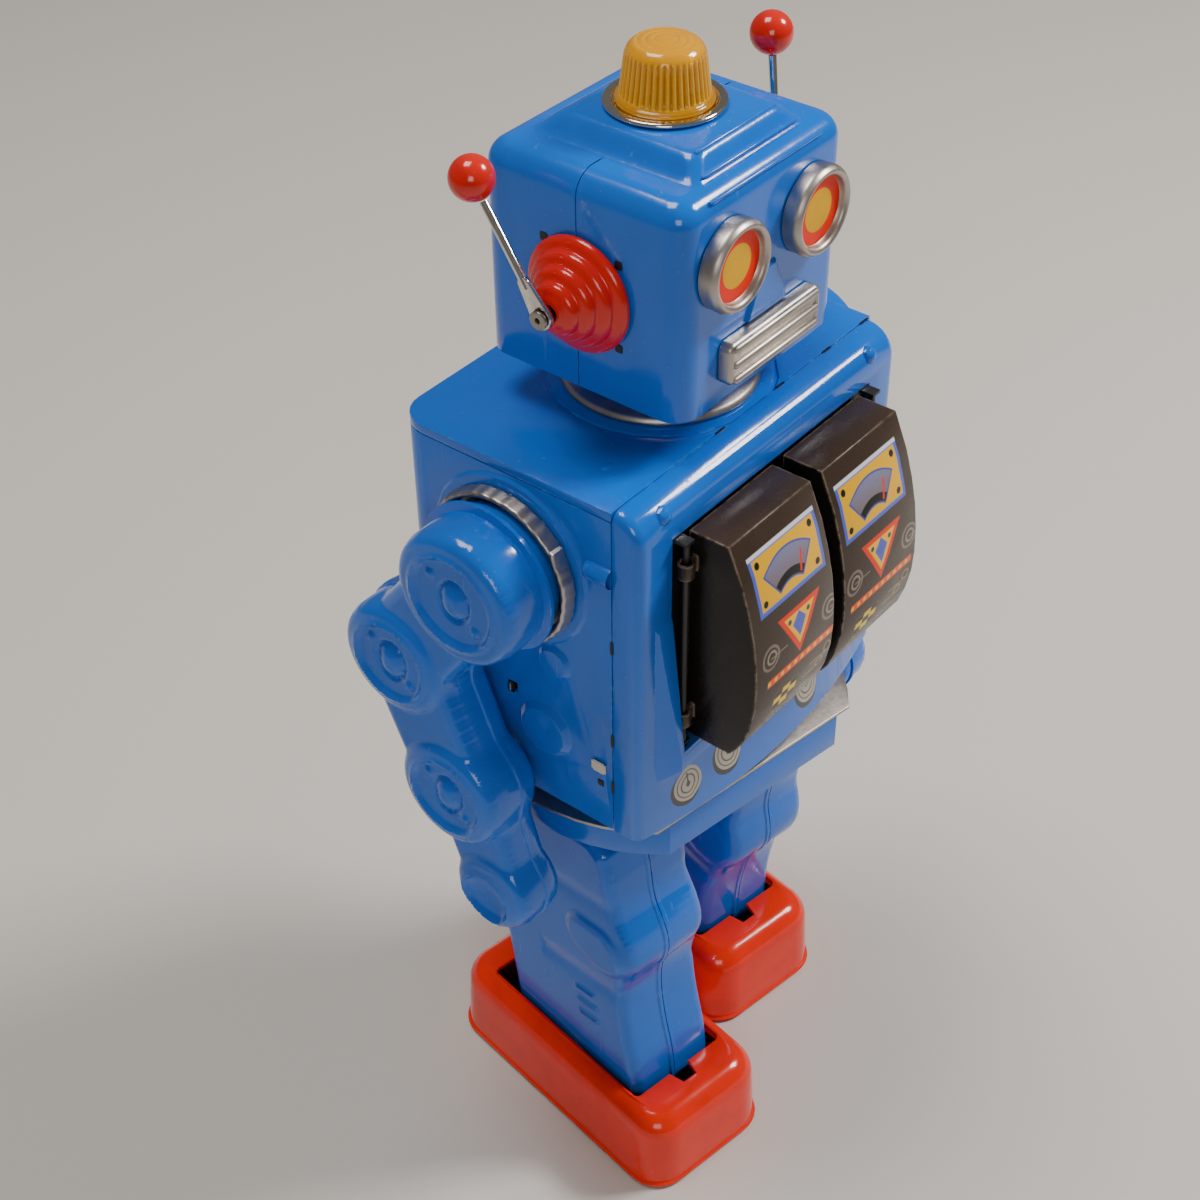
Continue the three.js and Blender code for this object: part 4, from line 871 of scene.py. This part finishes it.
def build_face():
    for side, sign in SIDES:
        ring = rounded([(10.2, 0.3), (10.35, 3.6), (9.3, 4.9), (8.2, 4.3), (7.9, 2.9)], 1.0, 6)
        steps = len(ring)
        profile = ring + [(7.85, 2.85), (5.05, 2.7), (4.95, 2.72), (0.01, 2.6)]
        verts, faces = turned(profile, (sign * 14.9, -28, 266.1), "-y", 96)
        marks = []
        for row in range(len(profile) - 1):
            marks += [0 if row < steps else (1 if row < steps + 2 else 2)] * 96
        obj = piece("eye_disc_" + side, verts, faces, ["silver", "eye_red", "eye_yellow"], "torso",
                    ["eye_" + side], marks=marks)
    # mouth: plate with three raised ribs
    plate = []
    for inset, depth in ((0, 0.3), (0, 2.6), (0.4, 3.2), (1.2, 3.5), (1.8, 3.0)):
        x, low, high = 17 - inset, 237.2 + inset, 247.5 - inset
        loop = box_loop(x, low, high, max(2 - inset, 0.3), 0)
        plate.append([(a, -28 - depth, b) for a, b, _ in loop])
    verts, faces = strip(plate)
    count = len(plate[0])
    faces.append(tuple(range(4 * count, 5 * count)))
    faces = [tuple(reversed(f)) for f in faces]
    ribs = []
    half = 15.8
    for z in (238.5, 242.35, 246.2):
        ribs.append(turned(rod_profile(half, 0.95, 0.7, 1.0, 0.3), (-half, -31.3, z), "+x", 20))
    obj = piece("ribbed_mouth", *joined((verts, faces), *ribs), "silver", "torso", ["mouth_grille"])


def build_ears():
    for side, sign in SIDES:
        profile = [(12.8, 0.3)]
        for ring in range(4):
            rim, base = 13.6 - ring * 2.5, 0.3 + ring * 2.5
            profile += [(rim, base + 0.3), (rim - 0.1, base + 1.3), (rim - 0.8, base + 2.1),
                        (rim - 2.1, base + 2.5)]
        profile += [(3.4, 10.6), (2.2, 11.0), (1.9, 10.6), (1.9, 6.0)]
        axis = "+x" if sign > 0 else "-x"
        part = turned(rounded(profile, 0.7, 3), (sign * 29.5, -1.2, 256), axis, 96)
        obj = piece("ringed_ear_" + side, *part, "red", "torso", ["ear_cup_" + side], 50)
        tilt = math.radians(34 if sign < 0 else 5.5)
        centre = (sign * 42.4, -1.2 + 31.9 * math.sin(tilt), 256 + 31.9 * math.cos(tilt))
        ball = [(max(r, 0.01), h) for r, h in arc(0, 0, 5, -90, 90, 30)]
        part = turned(ball, centre, "+z", 48)
        obj = piece("antenna_knob_" + side, *part, "red", "antenna_" + side, ["antenna_ball_" + side])


def build_lamp():
    y, seat = -0.5, 288.2
    bezel = [(7.6, 0), (13.2, 0), (13.5, 0.5), (13.1, 1.1), (11.6, 1.15), (11.2, 0.6), (7.6, 0.6)]
    ring = rounded(bezel, 0.3, 3)
    obj = piece("lamp_bezel", *turned(ring, (0, y, seat), "+z", 96), "chrome", "torso", ["lamp_ring"])
    wall = [(10.7, 0.9), (10.8, 1.3), (10.6, 1.85), (10.0, 2.0), (9.8, 2.6), (9.45, 5.5), (9.0, 9.0),
            (8.7, 11.0), (8.2, 12.2), (7.3, 13.1), (6.6, 13.5), (6.1, 13.35), (5.6, 13.55), (4.8, 13.75),
            (4.4, 13.55), (3.9, 13.75), (3.0, 13.95), (2.6, 13.75), (2.1, 13.95), (1.2, 14.1), (0.01, 14.1)]

    def flutes(r, h, a):
        depth = 0.55 * min(1.0, max(0.0, (h - 2.2) / 0.8)) * min(1.0, max(0.0, (11.6 - h) / 1.2))
        return r - depth * (0.5 + 0.5 * math.cos(40 * a))

    outside = turned(rounded(wall, 0.35, 2), (0, y, seat), "+z", 320, flutes)
    inside = [(8.3, 0.9), (8.2, 4.0), (7.7, 9.0), (6.9, 11.4), (4.5, 12.2), (0.01, 12.4)]
    core = turned(inside, (0, y, seat), "+z", 48)
    lens = joined(outside, (core[0], [tuple(reversed(f)) for f in core[1]]))
    obj = piece("fluted_dome", *lens, "amber", "torso", ["dome_lens"], 60)
    bulb = [(0.01, 0), (2.2, 0), (2.2, 4), (3.0, 5.4), (3.4, 7.2), (3.3, 9), (2.4, 10.6), (1.2, 11.3),
            (0.01, 11.4)]
    obj = piece("clear_bulb_shape", *turned(rounded(bulb, 0.6, 3), (0, y, 286.2), "+z", 48), "glass", "torso",
                ["lamp_bulb"])
    low = 221.0
    collar = rounded([(12, low + 1.2), (12, low + 0.2), (23, low), (23.3, low + 0.8), (22.7, low + 1.8),
                      (20, low + 3.2), (18.5, low + 6), (18, low + 10.4), (12, low + 10.4)], 0.6, 4)
    obj = piece("neck_disc", *turned(collar, (0, 0, 0), "+z", 96), "silver", "torso", ["neck_collar"])


# ------------------------------------------------------------------ small trim
def chip(centre, size):
    """Tiny block with softened corners, used for tab slots and folded tabs."""
    form = bmesh.new()
    bmesh.ops.create_cube(form, size=1.0)
    bmesh.ops.bevel(form, geom=form.edges[:], offset=0.12, segments=2, affect="EDGES")
    verts = [tuple(centre[i] + v.co[i] * size[i] for i in range(3)) for v in form.verts]
    faces = [tuple(v.index for v in f.verts) for f in form.faces]
    form.free()
    return verts, faces


def build_trim():
    # The black chips over the slots and holes are painted shade: they stand for the dark inside of each
    # opening
    dark, tabs, blues = [], [], []
    for _, sign in SIDES:
        for z in (183.4, 155.3, 140.5):
            dark.append(chip((sign * 50.02, -25.1, z), (0.3, 0.9, 3.8)))
        for step in range(4):
            angle = math.radians(45 + 90 * step)
            place_y, place_z = -1.2 + 14.2 * math.cos(angle), 256 + 14.2 * math.sin(angle)
            dark.append(chip((sign * 29.5, place_y, place_z), (0.3, 2.0, 2.0)))
        dark.append(chip((sign * 50.02, -21.5, 140.0), (0.3, 1.8, 1.8)))
        dark.append(chip((sign * 50.02, 5.4, 155.7), (0.3, 2.0, 3.4)))
        tabs.append(chip((sign * 50.3, -21.2, 145.2), (0.5, 4.2, 3.4)))
        tabs.append(chip((sign * 50.2, 5.9, 155.5), (0.5, 0.8, 2.6)))
        axis = [(0.01, 0), (1.4, 0.3), (2.3, 1.3), (2.6, 3), (2.6, 8)]
        blues.append(turned(axis, (sign * 49.6, -17.2, 203), "-y", 32))
    for x in (-11, 12, 31, 47):
        dark.append(chip((x, -25.2, 220.75), (3.4, 0.6, 0.3)))
    piece("tab_slots", *joined(*dark), "black", "torso")
    piece("folded_tabs", *joined(*tabs), "chrome", "torso")
    piece("side_tubes", *joined(*blues), "blue", "torso")


# ------------------------------------------------------------------ carried-over CAD nodes
KEPT = {
    "chest": ["chest_shell"],
    "blue": ["back_shell", "torso_top", "torso_base", "battery_door", "pelvis"],
    "silver": ["turntable"],
    "steel": ["drive_motor", "gearbox_frame", "waist_shaft",
              "hip_axle", "sole_plate_right", "sole_plate_left", "shoulder_axle_right", "shoulder_axle_left",
              "antenna_rivet_right", "antenna_rivet_left"],
    "chrome": ["antenna_rod_right", "antenna_rod_left"],
    "brass": ["lamp_socket", "motor_pinion"],
    "black": ["power_switch", "gun_carriage", "battery_case", "door_hinge_right", "door_hinge_left"],
    "nylon": ["drive_gear"],
    "jacket": ["battery_right", "battery_left"],
    "rubber": ["wheelset_front_right", "wheelset_rear_right", "wheelset_front_left", "wheelset_rear_left"],
    "door_right": ["chest_door_right"],
    "door_left": ["chest_door_left"],
}


def shading_group(angle):
    """Geometry nodes that smooth every edge flatter than the angle."""
    group = bpy.data.node_groups.new("soft_edges", "GeometryNodeTree")
    group.interface.new_socket("Geometry", in_out="INPUT", socket_type="NodeSocketGeometry")
    group.interface.new_socket("Geometry", in_out="OUTPUT", socket_type="NodeSocketGeometry")
    start = group.nodes.new("NodeGroupInput")
    end = group.nodes.new("NodeGroupOutput")
    edge = group.nodes.new("GeometryNodeInputMeshEdgeAngle")
    compare = group.nodes.new("FunctionNodeCompare")
    compare.data_type = "FLOAT"
    compare.operation = "GREATER_THAN"
    compare.inputs["B"].default_value = math.radians(angle)
    group.links.new(edge.outputs["Unsigned Angle"], compare.inputs["A"])
    faces = group.nodes.new("GeometryNodeSetShadeSmooth")
    faces.domain = "FACE"
    faces.inputs["Shade Smooth"].default_value = True
    creases = group.nodes.new("GeometryNodeSetShadeSmooth")
    creases.domain = "EDGE"
    creases.inputs["Shade Smooth"].default_value = False
    group.links.new(start.outputs[0], faces.inputs["Geometry"])
    group.links.new(faces.outputs[0], creases.inputs["Geometry"])
    group.links.new(compare.outputs["Result"], creases.inputs["Selection"])
    group.links.new(creases.outputs[0], end.inputs[0])
    return group


def dress_kept_nodes():
    smoothing = shading_group(36)
    for look, names in KEPT.items():
        for name in names:
            obj = frame["nodes"][name]
            obj.data.materials.clear()
            obj.data.materials.append(LOOK[look])
            weld = obj.modifiers.new("weld", "WELD")
            weld.merge_threshold = 0.00001
            flat = obj.modifiers.new("flat", "DECIMATE")
            flat.decimate_type = "DISSOLVE"
            flat.angle_limit = math.radians(1.0)
            bevel = obj.modifiers.new("edge", "BEVEL")
            bevel.width = 0.00022
            bevel.segments = 2
            bevel.limit_method = "ANGLE"
            bevel.angle_limit = math.radians(40)
            bevel.use_clamp_overlap = True
            shade = obj.modifiers.new("shade", "NODES")
            shade.node_group = smoothing


# ------------------------------------------------------------------ studio
def build_studio():
    floor = bpy.data.meshes.new("floor")
    floor.from_pydata([(-6, -6, 0), (6, -6, 0), (6, 6, 0), (-6, 6, 0)], [], [(0, 1, 2, 3)])
    ground = bpy.data.objects.new("floor", floor)
    bpy.context.scene.collection.objects.link(ground)
    pale = bpy.data.materials.new("pale_floor")
    pale.use_nodes = True
    pale.node_tree.nodes["Principled BSDF"].inputs["Base Color"].default_value = (0.66, 0.64, 0.61, 1)
    pale.node_tree.nodes["Principled BSDF"].inputs["Roughness"].default_value = 0.75
    floor.materials.append(pale)
    world = bpy.data.worlds.new("studio")
    world.use_nodes = True
    world.node_tree.nodes["Background"].inputs[0].default_value = (1.0, 0.96, 0.90, 1)
    world.node_tree.nodes["Background"].inputs[1].default_value = 0.16
    bpy.context.scene.world = world
    target = Vector((0, 0, 0.16))
    for name, spot, size, power, colour in (
        ("key", (0.75, -0.55, 1.05), 0.30, 15, (1.0, 0.96, 0.90)),
        ("fill", (-1.0, -0.75, 0.8), 0.5, 3.5, (1.0, 0.96, 0.92)),
        ("top", (-0.1, 0.3, 1.3), 0.45, 8.0, (1.0, 0.95, 0.88)),
    ):
        lamp = bpy.data.lights.new(name, "AREA")
        lamp.size = size
        lamp.energy = power
        lamp.color = colour
        obj = bpy.data.objects.new(name, lamp)
        obj.location = spot
        obj.rotation_euler = (target - Vector(spot)).to_track_quat("-Z", "Y").to_euler()
        bpy.context.scene.collection.objects.link(obj)


def build_camera():
    azimuth, elevation, roll = (math.radians(a) for a in (-50.94, 39.25, -0.69))
    ahead = Vector((-math.sin(azimuth) * math.cos(elevation), math.cos(azimuth) * math.cos(elevation),
                    -math.sin(elevation)))
    right = ahead.cross(Vector((0, 0, 1))).normalized()
    up = right.cross(ahead)
    right, up = (right * math.cos(roll) + up * math.sin(roll), up * math.cos(roll) - right * math.sin(roll))
    camera = bpy.data.cameras.new("camera")
    camera.lens = 62.56
    camera.sensor_width = 36.0
    obj = bpy.data.objects.new("camera", camera)
    matrix = Matrix((right, up, -ahead)).transposed().to_4x4()
    matrix.translation = Vector(place((-324.29, -244.46, 484.32)))
    obj.matrix_world = matrix
    bpy.context.scene.collection.objects.link(obj)
    bpy.context.scene.camera = obj


build_camera()
build_studio()
dress_kept_nodes()
build_arms()
build_legs()
build_shoes()
build_head()
build_face()
build_ears()
build_lamp()
build_trim()
